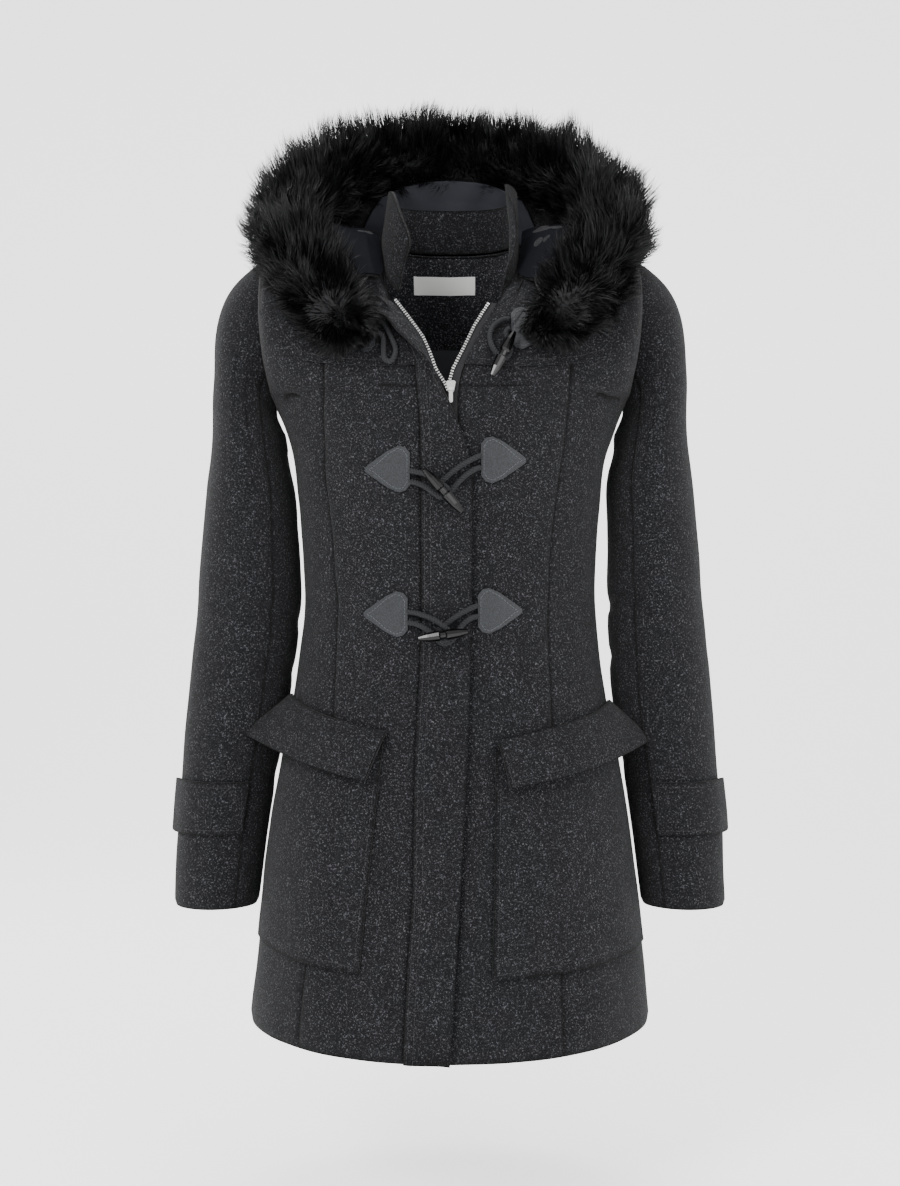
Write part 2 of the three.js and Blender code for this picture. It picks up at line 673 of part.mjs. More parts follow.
function sideEdge(side) {
  const front = Math.abs(side) === 1;
  return (z) => {
    const ring = z > UNDERARM_Z ? 1e-6 : HALF_GAP / 125;
    return Math.sign(side) * (front ? 1 - ring : 1 + ring);
  };
}

function backSeam(sign, shift) {
  return (z) => sign * turnAt(lookUp(BACK_SEAMS, 'z', 'x', z) + shift, z, true);
}

function columnsBetween(from, to, count) {
  return steps(count).map((share) => ({ from, to, share }));
}

const BACK_MIDDLE_RIGHT = () => -2;
const BACK_MIDDLE_LEFT = () => 2;
const PANELS = {
  front_right_centre: columnsBetween(
    frontEdge(PLACKET_SEAM, 'x', -HALF_GAP),
    frontEdge(PRINCESS_SEAMS, 'r', HALF_GAP),
    5,
  ),
  front_right_side: columnsBetween(frontEdge(PRINCESS_SEAMS, 'r', -HALF_GAP), sideEdge(-1), 4),
  front_left_centre: columnsBetween(
    frontEdge(ZIP_EDGE_LEFT, 'x', 0),
    frontEdge(PRINCESS_SEAMS, 'l', -HALF_GAP),
    5,
  ),
  front_left_side: columnsBetween(frontEdge(PRINCESS_SEAMS, 'l', HALF_GAP), sideEdge(1), 5),
  back_right_side: columnsBetween(sideEdge(-1.5), backSeam(-1, HALF_GAP), 4),
  back_left_side: columnsBetween(sideEdge(1.5), backSeam(1, HALF_GAP), 4),
  back_centre: [
    ...columnsBetween(backSeam(-1, -HALF_GAP), BACK_MIDDLE_RIGHT, 4).slice(0, -1),
    ...columnsBetween(BACK_MIDDLE_LEFT, backSeam(1, -HALF_GAP), 4),
  ],
};

// Neighbouring panels as one run of columns, so that what lies on them has the same facets
const FRONT_RIGHT = [...PANELS.front_right_centre, ...PANELS.front_right_side.slice(1)];
const FRONT_LEFT = [...PANELS.front_left_centre, ...PANELS.front_left_side.slice(1)];
const BACK = [
  ...PANELS.back_right_side.slice(0, -1),
  ...PANELS.back_centre.slice(0, -1),
  ...[...PANELS.back_left_side].reverse(),
];

function sheetOver(columns, above, wall) {
  const pointAt = (row, column, height) => panelPoint(column, row, height);
  return sheetSolid(BODY_ROWS, columns, pointAt, above, wall);
}

// A straight prism along y with the given x and z outline
function prism(outline) {
  const shape = new THREE.Shape(outline.map(([x, z]) => new THREE.Vector2(x, z)));
  const geometry = new THREE.ExtrudeGeometry(shape, { depth: 600, bevelEnabled: false });
  return geometry.translate(0, 0, -300).rotateX(Math.PI / 2);
}

function rectangle(lowX, highX, lowZ, highZ) {
  return prism([[lowX, lowZ], [highX, lowZ], [highX, highZ], [lowX, highZ]]);
}

function keepInside(geometry, region) {
  return fromManifold(toManifold(geometry).intersect(toManifold(region)));
}

function buildPanels() {
  for (const [name, columns] of Object.entries(PANELS)) {
    addPiece(name, sheetOver(columns, 0, WOOL), wool);
  }
}

// Sleeves. degrees run round the sleeve from its outer side over the front; down runs from the armhole
// (0) to the end of the cap (1) and then by height.

function sleeveRing(side, degrees, z) {
  const angle = (degrees * Math.PI) / 180;
  const outer = lookUp(SLEEVE_SECTIONS, 'z', 'outer', z);
  const inner = lookUp(SLEEVE_SECTIONS, 'z', side < 0 ? 'innerR' : 'innerL', z);
  const depth = lookUp(SLEEVE_SECTIONS, 'z', 'depth', z);
  const midY = lookUp(SLEEVE_SECTIONS, 'z', 'midY', z);
  const x = (outer + inner) / 2 + ((outer - inner) / 2) * Math.cos(angle);
  return new THREE.Vector3(side * x, midY - depth * Math.sin(angle), z);
}

function armholePoint(side, degrees) {
  const angle = (degrees * Math.PI) / 180;
  const share = (1 + Math.cos(angle)) / 2;
  const face = Math.sin(angle) >= 0 ? 0.9999 : 1.0001;
  const z = mix(UNDERARM_Z, SHOULDER_TIP_Z, share);
  const point = upperBody(side * face, z);
  point.x += side * ARMHOLE_SPACE;
  return point;
}

function sleevePoint(side, degrees, down) {
  if (down < 0) return sleeveRing(side, degrees, down);
  const outerShare = (1 + Math.cos((degrees * Math.PI) / 180)) / 2;
  const start = armholePoint(side, degrees);
  const end = sleeveRing(side, degrees, SLEEVE_TOP_Z);
  const reach = start.distanceTo(end);
  const leave = new THREE.Vector3(side * mix(0.12, 0.8, outerShare), 0, mix(-1, -0.5, outerShare));
  const arrive = new THREE.Vector3(side * mix(0.2, -0.12, outerShare), 0, 1);
  const curve = new THREE.CubicBezierCurve3(
    start,
    start.clone().addScaledVector(leave.normalize(), reach * 0.42),
    end.clone().addScaledVector(arrive.normalize(), reach * 0.38),
    end,
  );
  return curve.getPoint(down);
}

// Rows of a sleeve: the cap as shares of its length, then heights
const CAP_ROWS = [0, 0.16, 0.34, 0.55, 0.78, 1];
const ARM_ROWS = [-228, -262, -300, -340, -385, -430, -475, -520, -560, -596, CUFF_Z];

function onSleeve(side, degrees, row, above) {
  const point = sleevePoint(side, degrees, row);
  if (above === 0) return point;
  const across = sleevePoint(side, degrees + 1, row).sub(sleevePoint(side, degrees - 1, row));
  const isCap = row >= 0;
  const upper = isCap ? clamp(row - 0.02, 0, 1) : row + 1;
  const lower = isCap ? clamp(row + 0.02, 0, 1) : row - 1;
  const along = sleevePoint(side, degrees, lower).sub(sleevePoint(side, degrees, upper));
  return point.addScaledVector(along.cross(across).normalize(), above * -side);
}

function sleevePiece(side, fromDegrees, toDegrees, columnCount) {
  const gapDegrees = ((HALF_GAP / 50) * 180) / Math.PI;
  const columns = steps(columnCount, fromDegrees + gapDegrees, toDegrees - gapDegrees);
  const pointAt = (row, degrees, above) => onSleeve(side, degrees, row, above);
  return sheetSolid([...CAP_ROWS, ...ARM_ROWS], columns, pointAt, 0, WOOL);
}

function cuffTab(side) {
  const pointAt = (row, along, height) => {
    const degrees = mix(FRONT_SLEEVE_SEAM - 3, TAB_END_DEGREES, along);
    const half = (TAB_HEIGHT / 2) * (1 - 0.22 * smooth(0.86, 1, along));
    const lift = TAB_LIFT * smooth(0.72, 1, along);
    return onSleeve(side, degrees, TAB_MID_Z + row * half, height + lift);
  };
  return sheetSolid([-1, 0, 1], steps(11), pointAt, SEAM_GAP + TAB_WALL, TAB_WALL);
}

function buildSleeves() {
  for (const [word, side] of [['right', -1], ['left', 1]]) {
    const upper = sleevePiece(side, BACK_SLEEVE_SEAM - 360, FRONT_SLEEVE_SEAM, 10);
    addPiece(`sleeve_${word}_upper`, upper, wool);
    addPiece(`sleeve_${word}_under`, sleevePiece(side, FRONT_SLEEVE_SEAM, BACK_SLEEVE_SEAM, 4), wool);
    addPiece(`cuff_tab_${word}`, cuffTab(side), wool);
  }
}

// Yokes: shaped flaps that lie over the tops of the panels

function yokeOutline(side) {
  const last = YOKE_EDGE[YOKE_EDGE.length - 1];
  const lower = [...steps(6, 0, 120), 130, 140, 148, 154, 160, 164, last.x].map((x) => [
    side * x,
    lookUp(YOKE_EDGE, 'x', 'z', x),
  ]);
  return [[0, 60], ...lower, [side * (last.x + 2), 60]];
}

function buildYokes() {
  const above = YOKE_SPACE + YOKE_WALL;
  for (const [word, side, columns] of [['right', -1, FRONT_RIGHT], ['left', 1, FRONT_LEFT]]) {
    const sheet = sheetOver(columns, above, YOKE_WALL);
    const flap = keepInside(sheet, prism(yokeOutline(side)));
    const under = [SEAM_GAP, SEAM_GAP / 2, 0].map((above) => sheetOver(columns, above, WOOL));
    const clear = cut(flap, ...under, collarStand(0.6), placket(PLACKET_WALL + 1), placket(PLACKET_WALL));
    addPiece(`yoke_${word}`, largestBody(clear), wool);
  }
  const region = rectangle(-BACK_YOKE_SIDE, BACK_YOKE_SIDE, BACK_YOKE_EDGE_Z, 60);
  addPiece('yoke_back', keepInside(sheetOver(BACK, above, YOKE_WALL), region), wool);
}

// The placket: each section is a curve over the cloth through four places, with a wall on both sides of it

const CENTRE_ROWS = LOWER_ROWS.map((row) => rowZ(row, 0)).filter((z) => z < PLACKET_UPPER_ROWS[0] - 20);

function placketSection(z) {
  const read = (column) => lookUp(PLACKET_SECTIONS, 'z', column, z);
  const seamX = lookUp(PLACKET_SEAM, 'z', 'x', z) + HALF_GAP;
  const half = PLACKET_WALL / 2;
  return new THREE.CatmullRomCurve3([
    new THREE.Vector3(seamX, SEAM_GAP + half, 0),
    new THREE.Vector3(read('midX'), read('mid') - half, 0),
    new THREE.Vector3(read('turnX') - half * smooth(-190, -140, z), read('turn') - half, 0),
    new THREE.Vector3(read('edgeX'), read('edge') - half, 0),
  ]);
}

function placket(wall) {
  const rows = [...CENTRE_ROWS, ...PLACKET_UPPER_ROWS];
  const columns = steps(7);
  const layer = (height) =>
    rows.map((z) => {
      const section = placketSection(z);
      return columns.map((share) => {
        const middle = section.getPoint(share);
        const along = section.getTangent(share);
        return onFront(middle.x - along.y * height, z, middle.y + along.x * height);
      });
    });
  return wallSolid(layer(wall / 2), layer(-wall / 2));
}

// Zip: on each half a thin tape with a thicker bead of teeth

function zipHalf(side) {
  const table = side < 0 ? TEETH_RIGHT : TEETH_LEFT;
  const rows = [...CENTRE_ROWS.slice(1), ...PLACKET_UPPER_ROWS, ZIP_TOP_Z];
  const tapeEdge = (z) => {
    if (side > 0) return lookUp(ZIP_EDGE_LEFT, 'z', 'x', z) - 2 * SEAM_GAP;
    const closed = lookUp(table, 'z', 'x', z) - TAPE_WIDTH;
    const turned = lookUp(PLACKET_SECTIONS, 'z', 'turnX', z) + 2 * SEAM_GAP;
    return mix(closed, turned, smooth(-176, -160, z));
  };
  const lift = (z) => (side < 0 ? 4 : 1) * smooth(-150, -128, z);
  const layer = (tape, bead) =>
    rows.map((z) => {
      const teeth = lookUp(table, 'z', 'x', z);
      const inner = teeth + side * BEAD_HALF;
      const outer = teeth - side * BEAD_HALF;
      return [
        onFront(tapeEdge(z), z, tape + lift(z)),
        onFront(inner + side * 0.2, z, tape + lift(z)),
        onFront(inner, z, bead + lift(z)),
        onFront(outer, z, bead + lift(z)),
      ];
    });
  return wallSolid(layer(-0.7, 0), layer(-1.8, -2.5));
}

// The slider and its pull tab, made about the pin: x right, y up along the zip, z out of the cloth

function sliderFrame() {
  const seat = onFront(SLIDER_X, SLIDER_Z, 0);
  const out = bodyNormal(turnAt(SLIDER_X, SLIDER_Z), SLIDER_Z);
  out.x = 0;
  out.normalize();
  const right = new THREE.Vector3(1, 0, 0);
  const up = out.clone().cross(right);
  return new THREE.Matrix4().makeBasis(right, up, out).setPosition(seat);
}

function block(x, y, z, width, height, depth) {
  return new THREE.BoxGeometry(width, height, depth).translate(x, y, z);
}

function join(...geometries) {
  return fromManifold(geometries.map(toManifold).reduce((whole, next) => whole.add(next)));
}

function sliderBody() {
  const shape = new THREE.Shape();
  shape.moveTo(-2.6, -SLIDER_HALF);
  shape.lineTo(2.6, -SLIDER_HALF);
  shape.lineTo(4.2, SLIDER_HALF - 1.5);
  shape.quadraticCurveTo(3.8, SLIDER_HALF, 2, SLIDER_HALF);
  shape.lineTo(-2, SLIDER_HALF);
  shape.quadraticCurveTo(-3.8, SLIDER_HALF, -4.2, SLIDER_HALF - 1.5);
  shape.closePath();
  const plate = new THREE.ExtrudeGeometry(shape, { depth: 2, bevelEnabled: false, curveSegments: 3 });
  plate.translate(0, 0, 0.5);
  const ear = (x) => block(x, PIN_Y, 3.6, 0.8, 2.6, 3.6);
  const pin = new THREE.CylinderGeometry(PIN_RADIUS, PIN_RADIUS, 5, 10).rotateZ(Math.PI / 2);
  pin.translate(0, PIN_Y, PIN_OUT);
  return join(plate, ear(-2.5), ear(2.5), pin);
}

function pullTab() {
  const eye = new THREE.Shape();
  eye.absarc(0, 0, EYE_RADIUS, 0, Math.PI * 2, false);
  const hole = new THREE.Path();
  hole.absarc(0, 0, PIN_RADIUS + SEAM_GAP, 0, Math.PI * 2, true);
  eye.holes.push(hole);
  const width = 3.4;
  const barrel = new THREE.ExtrudeGeometry(eye, { depth: width, bevelEnabled: false, curveSegments: 8 });
  barrel.translate(0, 0, -width / 2).rotateY(Math.PI / 2);
  const tab = new THREE.Shape();
  tab.moveTo(-width / 2, -1.2);
  tab.lineTo(width / 2, -1.2);
  tab.lineTo(width / 2, 2.2 - PULL_LENGTH);
  tab.absarc(0, 1.7 - PULL_LENGTH, width / 2, 0, -Math.PI, true);
  tab.closePath();
  const plate = new THREE.ExtrudeGeometry(tab, { depth: 1, bevelEnabled: false, curveSegments: 5 });
  plate.translate(0, 0, -0.5);
  const clear = new THREE.CylinderGeometry(PIN_RADIUS + SEAM_GAP, PIN_RADIUS + SEAM_GAP, 5, 16);
  clear.rotateZ(Math.PI / 2);
  return cut(join(barrel, plate), clear).translate(0, PIN_Y, PIN_OUT);
}

function buildClosure() {
  addPiece('front_placket', placket(PLACKET_WALL), wool);
  addPiece('zip_tape_right', zipHalf(-1), zipTape);
  addPiece('zip_tape_left', zipHalf(1), zipTape);
  const frame = sliderFrame();
  addPiece('zip_slider', sliderBody().applyMatrix4(frame), nickel);
  addPiece('zip_pull', pullTab().applyMatrix4(frame), nickel);
}

// The neck: collar stand, facing, lining and label

function neckSeam(round) {
  const angle = Math.abs(round) * Math.PI;
  const isBack = angle < Math.PI / 2;
  const square = isBack ? 2.5 : 3.4;
  const x = NECK_HALF_WIDTH * Math.pow(Math.sin(angle), 2 / square);
  const point = neckPoint(x, isBack);
  return new THREE.Vector3(Math.sign(round) * x, point.y, point.z);
}

function towardsNeckMiddle(round) {
  const before = neckSeam(round - 0.02);
  const after = neckSeam(round + 0.02);
  const along = after.sub(before);
  return new THREE.Vector3(along.y, -along.x, 0).normalize();
}

function collarStand(grow = 0) {
  const last = COLLAR_SECTIONS[COLLAR_SECTIONS.length - 1].round;
  const pointAt = (share, round, height) => {
    const inward = towardsNeckMiddle(round);
    const foot = neckSeam(round).addScaledVector(inward, COLLAR_SPACE - grow);
    foot.z += COLLAR_LIFT - grow;
    const read = (column) => lookUp(COLLAR_SECTIONS, 'round', column, round);
    const point = new THREE.Vector3(
      foot.x + read('leanX') * share,
      foot.y + read('leanY') * share,
      mix(foot.z, read('topZ'), share),
    );
    return point.addScaledVector(inward, -height);
  };
  return sheetSolid(steps(3), steps(22, -last, last), pointAt, 0, COLLAR_WALL + grow);
}

function buildNeck() {
  addPiece('collar_stand', collarStand(), wool);
  const inside = -WOOL - SEAM_GAP;
  const facing = rectangle(-FACING_HALF, FACING_HALF, FACING_LOW_Z, 40);
  addPiece('back_neck_facing', keepInside(sheetOver(BACK, inside, FACING_WALL), facing), wool);
  const below = rectangle(-LINING_HALF, LINING_HALF, LINING_LOW_Z, FACING_LOW_Z - SEAM_GAP);
  addPiece('back_lining', keepInside(sheetOver(BACK, inside, SATIN), below), satin);
  const label = rectangle(LABEL_FROM_X, LABEL_FROM_X + LABEL_WIDTH, LABEL_LOW_Z, LABEL_LOW_Z + LABEL_HEIGHT);
  const onFacing = sheetOver(BACK, inside - FACING_WALL - SEAM_GAP, LABEL_WALL);
  addPiece('neck_label', keepInside(onFacing, label), labelCloth);
}

// Pockets with flaps

function pocketTopZ(flap, column) {
  return mix(flap.innerZ, flap.outerZ, column) - POCKET_BELOW_SEAM;
}

function pocket(place, flap) {
  const pointAt = (row, column, height) => {
    const z = mix(mix(place.lowZ, place.lowOuterZ, column), pocketTopZ(flap, column), row);
    const innerX = mix(place.innerLowX, place.innerTopX, row) * place.side;
    const turn = mix(turnAt(innerX, z), place.side * POCKET_OUTER_TURN, column);
    const bulge = POCKET_BULGE * Math.sin(Math.PI * clamp(column, 0, 1)) * Math.sin((Math.PI * (row + 0.02)) / 1.5);
    return onBody(turn, z, height + bulge);
  };
  return sheetSolid(steps(5), steps(6), pointAt, POCKET_SPACE + WOOL, WOOL);
}

function pocketFlap(flap) {
  const pointAt = (row, column, height) => {
    const z = mix(flap.innerZ, flap.outerZ, column) - flap.fall * row;
    const innerX = mix(flap.innerTopX, flap.innerLowX, row) * flap.side;
    const turn = mix(turnAt(innerX, z), flap.side * POCKET_OUTER_TURN, column);
    const overPocket = (POCKET_BULGE + WOOL + 2) * smooth(-0.1, 0.4, row);
    const flare = flap.flare * Math.pow(column, 4) * smooth(0, 1, row);
    return onBody(turn, z, height + overPocket + flare);
  };
  return sheetSolid(steps(4), steps(8), pointAt, POCKET_SPACE + FLAP_WALL, FLAP_WALL);
}

function buildPockets() {
  POCKETS.forEach((place, i) => {
    const word = place.side < 0 ? 'right' : 'left';
    addPiece(`pocket_${word}`, pocket(place, FLAPS[i]), wool);
    addPiece(`pocket_flap_${word}`, pocketFlap(FLAPS[i]), wool);
  });
}

// Toggle fastenings

function patch(place, grow = 0, low = SEAM_GAP, wall = LEATHER) {
  const base = place.z > YOKE_EDGE[0].z ? YOKE_SPACE + YOKE_WALL : 0;
  const along = (share) => place.edgeX + place.side * mix(-grow, PATCH_LENGTH + grow, share);
  const upper = PATCH_HALF_HEIGHTS.map((row) => [along(row.along), place.z + row.half + grow]);
  const lower = PATCH_HALF_HEIGHTS.map((row) => [along(row.along), place.z - row.half - grow]).reverse();
  const columns = place.side < 0 ? FRONT_RIGHT : FRONT_LEFT;
  return keepInside(sheetOver(columns, base + low + wall, wall), prism([...upper, ...lower]));
}

function toggle(place, grow = 0) {
  const half = place.length / 2 + grow;
  const profile = TOGGLE_PROFILE.map(
    (row) => new THREE.Vector2(row.radius === 0 ? 0 : row.radius + grow, row.along * half),
  );
  const geometry = new THREE.LatheGeometry(profile, 10);
  const turnZ = (place.turn * Math.PI) / 180 - Math.PI / 2;
  geometry.rotateZ(turnZ);
  const out = bodyNormal(turnAt(place.x, place.z), place.z);
  const right = new THREE.Vector3(1, 0, 0).addScaledVector(out, -out.x).normalize();
  const up = out.clone().cross(right);
  const seat = onFront(place.x, place.z, place.above);
  return geometry.applyMatrix4(new THREE.Matrix4().makeBasis(right, up, out).setPosition(seat));
}

function cordTube(route, radius = CORD_RADIUS) {
  const curve = new THREE.CatmullRomCurve3(route.map(([x, z, above]) => onFront(x, z, above)), false, 'centripetal');
  const circle = new THREE.Shape();
  circle.absarc(0, 0, radius, 0, Math.PI * 2, false);
  const stepCount = Math.round(curve.getLength() / CORD_STEP);
  return new THREE.ExtrudeGeometry(circle, {
    steps: stepCount,
    curveSegments: 4,
    bevelEnabled: false,
    extrudePath: curve,
  });
}

function buildFastenings() {
  for (const place of PATCHES) addPiece(place.name, patch(place), leather);
  for (const place of TOGGLES) addPiece(place.name, toggle(place), horn);
  for (const [name, route] of Object.entries(CORD_ROUTES)) addPiece(name, cordTube(route), rope);
}

// The hood: a pouch between the fur edge and the neck seam

const BODY_SAMPLES = [];
for (const turn of steps(96, -1.99, 1.99)) {
  for (const row of steps(26, -0.25, 1)) {
    const face = onOneFace(turn, turn);
    const z = rowZ(row, face);
    BODY_SAMPLES.push({ point: onBody(face, z, 0), normal: bodyNormal(face, z) });
  }
}

for (const side of [-1, 1]) {
  for (const degrees of steps(16, -90, 90)) {
    for (const row of [...steps(8), -215, -240]) {
      const point = onSleeve(side, degrees, row, 0);
      BODY_SAMPLES.push({ point, normal: onSleeve(side, degrees, row, 1).sub(point).normalize() });
    }
  }
}

// Moves a point out until it is at least this far above the body
function clearOfBody(point, height) {
  const moved = point.clone();
  for (let pass = 0; pass < 3; pass += 1) {
    let nearest = BODY_SAMPLES[0];
    let best = Infinity;
    for (const sample of BODY_SAMPLES) {
      const distance = sample.point.distanceToSquared(moved);
      if (distance < best) {
        best = distance;
        nearest = sample;
      }
    }
    const above = moved.clone().sub(nearest.point).dot(nearest.normal);
    if (above < height) moved.addScaledVector(nearest.normal, height - above);
  }
  return moved;
}

const FUR_POINTS = [
  ...FUR_LINE.map((row) => new THREE.Vector3(-row.x, row.y, row.z)),
  ...FUR_LINE.slice(0, -1).reverse().map((row) => new THREE.Vector3(row.x, row.y, row.z)),
];
const FUR_CURVE = new THREE.CatmullRomCurve3(
  FUR_POINTS.map((point, i) => {
    const row = FUR_LINE[Math.min(i, FUR_POINTS.length - 1 - i)];
    return clearOfBody(point, row.radius * FUR_REST_SHARE);
  }),
);
const FUR_ROUNDS = FUR_LINE.map((row, i) => ({ round: 1 - i / (FUR_LINE.length - 1), radius: row.radius })).reverse();

function furRadius(round) {
  return lookUp(FUR_ROUNDS, 'round', 'radius', Math.abs(round));
}

function hoodPoint(round, along) {
  const neck = neckSeam(round * NECK_END_ROUND).addScaledVector(towardsNeckMiddle(round * NECK_END_ROUND), -HOOD_SPACE);
  neck.z += 4;
  const middle = FUR_CURVE.getPoint((1 + round) / 2);
  const out = new THREE.Vector3(middle.x - neck.x, middle.y - neck.y, 0);
  const reach = out.length();
  out.normalize();
  const radius = furRadius(round) + 2 * SEAM_GAP;
  const start = middle.clone().addScaledVector(out, -radius * 0.3);
  start.z -= radius * 0.954;
  const read = (column) => lookUp(POUCH_SIZES, 'round', column, Math.abs(round));
  const path = (column) => lookUp(POUCH_PATH, 'along', column, along);
  const distance = (reach - radius * 0.3) * (1 - along) + read('out') * path('out');
  const point = neck.clone().addScaledVector(out, distance);
  point.z = mix(start.z, neck.z, along) - read('fall') * path('fall');
  return point;
}

// Pushes the corners of every quad out until its corners and its middle are clear of the body
function clearGrid(grid, height) {
  for (let pass = 0; pass < 5; pass += 1) {
    for (let i = 0; i < grid.length - 1; i += 1) {
      for (let j = 0; j < grid[0].length - 1; j += 1) {
        const corners = [grid[i][j], grid[i][j + 1], grid[i + 1][j + 1], grid[i + 1][j]];
        for (const pair of [[0, 2], [1, 3], [0, 1], [1, 2], [2, 3], [3, 0], [0, 0]]) {
          const [a, b] = pair.map((k) => corners[k]);
          const middle = a.clone().lerp(b, 0.5);
          const push = clearOfBody(middle, height).sub(middle);
          a.add(push);
          if (b !== a) b.add(push);
        }
      }
    }
  }
  return grid;
}

// A layer on the inner side of a grid of points, at an even depth
function innerLayer(grid, depth) {
  const last = [grid.length - 1, grid[0].length - 1];
  return grid.map((row, i) =>
    row.map((point, j) => {
      const run = grid[Math.min(i + 1, last[0])][j].clone().sub(grid[Math.max(i - 1, 0)][j]);
      const across = row[Math.min(j + 1, last[1])].clone().sub(row[Math.max(j - 1, 0)]);
      return point.clone().addScaledVector(across.cross(run).normalize(), HOOD_INSIDE * depth);
    }),
  );
}

function hoodGrid() {
  const rounds = steps(2 * HOOD_COLUMNS, -HOOD_END_ROUND, HOOD_END_ROUND);
  const grid = HOOD_ROWS.map((along) => rounds.map((round) => hoodPoint(round, along)));
  return clearGrid(grid, HOOD_CLEAR);
}

function furTube(grow = 0) {
  const rounds = steps(FUR_RINGS, -1, 1);
  const frames = FUR_CURVE.computeFrenetFrames(FUR_RINGS, false);
  const rings = rounds.map((round, i) => {
    const middle = FUR_CURVE.getPoint((1 + round) / 2);
    const along = FUR_CURVE.getTangent((1 + round) / 2);
    const side = frames.normals[i].clone().addScaledVector(along, -frames.normals[i].dot(along)).normalize();
    const up = along.clone().cross(side);
    const endShare = Math.min(1, (1 - Math.abs(round)) / 0.06);
    const radius = (furRadius(round) + grow) * Math.max(0.3, Math.sqrt(1 - (1 - endShare) ** 2));
    return steps(FUR_SIDES, 0, Math.PI * 2).slice(0, -1).map((angle, j) => {
      const tuft = 1 + 0.022 * Math.sin(i * 2.1 + j * 1.7);
      return middle
        .clone()
        .addScaledVector(side, Math.cos(angle) * radius * tuft)
        .addScaledVector(up, Math.sin(angle) * radius * tuft);
    });
  });
  return closedTube(rings);
}

function closedTube(rings) {
  const count = rings[0].length;
  const positions = rings.flat().flatMap((point) => [point.x, point.y, point.z]);
  const index = [];
  for (let i = 0; i < rings.length - 1; i += 1) {
    for (let j = 0; j < count; j += 1) {
      const next = (j + 1) % count;
      const [a, b, c, d] = [i * count + j, i * count + next, (i + 1) * count + next, (i + 1) * count + j];
      index.push(a, b, c, a, c, d);
    }
  }
  for (let j = 1; j < count - 1; j += 1) {
    index.push(0, j + 1, j);
    const last = (rings.length - 1) * count;
    index.push(last, last + j, last + j + 1);
  }
  const geometry = new THREE.BufferGeometry();
  geometry.setAttribute('position', new THREE.Float32BufferAttribute(positions, 3));
  geometry.setIndex(index);
  return facingOut(geometry);
}

// The lining of the far side of the pouch: that side moved towards the neck and down
function pouchLayer(grid, depth) {
  const foot = grid[grid.length - 1];
  return grid.slice(0, LINED_ROWS).map((row) =>
    row.map((point, j) => {
      const towards = foot[j].clone().sub(grid[0][j]).setZ(0).normalize();
      towards.multiplyScalar(POUCH_LINING_IN + depth).setZ(-POUCH_LINING_DOWN - 0.9 * depth);
      return point.clone().add(towards);
    }),
  );
}

// The part of a layered grid between two columns, half a seam gap short at both
function hoodPart(layers, from, to) {
  const trimmed = layers.map((grid) =>
    grid.map((row) => {
      const points = row.slice(from, to + 1).map((point) => point.clone());
      const towards = (end, next) => end.lerp(next, HALF_GAP / end.distanceTo(next));
      towards(points[0], points[1]);
      towards(points[points.length - 1], points[points.length - 2]);
      return points;
    }),
  );
  return wallSolid(...trimmed);
}

function buildHood() {
  const outer = hoodGrid();
  const shell = [outer, innerLayer(outer, WOOL)];
  const last = 2 * HOOD_COLUMNS;
  addPiece('hood_right', hoodPart(shell, 0, HOOD_COLUMNS), wool);
  addPiece('hood_left', hoodPart(shell, HOOD_COLUMNS, last), wool);
  const lining = [WOOL + LINING_SPACE, WOOL + LINING_SPACE + SATIN].map((depth) => innerLayer(outer, depth));
  const pouch = [0, SATIN].map((depth) => pouchLayer(outer, depth));
  const taken = wallSolid(innerLayer(outer, 0.5), innerLayer(outer, WOOL + SEAM_GAP));
  const pile = furTube(FUR_SPACE);
  const lined = (layers, from, to) => largestBody(cut(hoodPart(layers, from, to), taken, pile));
  addPiece('hood_lining_right', lined(lining, 0, LINING_SIDE), satin);
  addPiece('hood_lining_left', lined(lining, last - LINING_SIDE, last), satin);
  addPiece('hood_lining', lined(pouch, ...LINED_COLUMNS), satin);
  const cutters = [
    wallSolid(innerLayer(outer, -1), innerLayer(outer, WOOL + 1)),
    sheetOver(FRONT_RIGHT, YOKE_WALL + YOKE_SPACE + SEAM_GAP, 22),
    sheetOver(FRONT_LEFT, YOKE_WALL + YOKE_SPACE + SEAM_GAP, 22),
    sheetOver(BACK, YOKE_WALL + YOKE_SPACE + SEAM_GAP, 22),
    placket(PLACKET_WALL + 2),
    patch(PATCHES[0], 1, -0.5, 3.6),
    patch(PATCHES[3], 1, -0.5, 3.6),
    toggle(TOGGLES[2], 0.6),
    cordTube(CORD_ROUTES.cord_loop_1, CORD_RADIUS + 0.4),
    cordTube(CORD_ROUTES.cord_toggle_1, CORD_RADIUS + 0.4),
  ];
  addPiece('hood_fur', largestBody(cut(furTube(), ...cutters), FUR_SLIVER), fur);
}

function largestBody(geometry, sliver = 0) {
  const parts = toManifold(geometry).decompose();
  const largest = parts.reduce((best, part) => (part.volume() > best.volume() ? part : best));
  return fromManifold(sliver > 0 ? largest.simplify(sliver) : largest);
}

buildPanels();
buildSleeves();
buildYokes();
buildClosure();
buildNeck();
buildPockets();
buildFastenings();
buildHood();

export default coat;
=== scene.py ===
"""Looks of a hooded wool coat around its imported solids: cloth, pile, leather, horn, cord and metal."""

import math

import bmesh
import bpy
import numpy as np
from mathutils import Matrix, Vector, noise
from mathutils.bvhtree import BVHTree
from mathutils.kdtree import KDTree


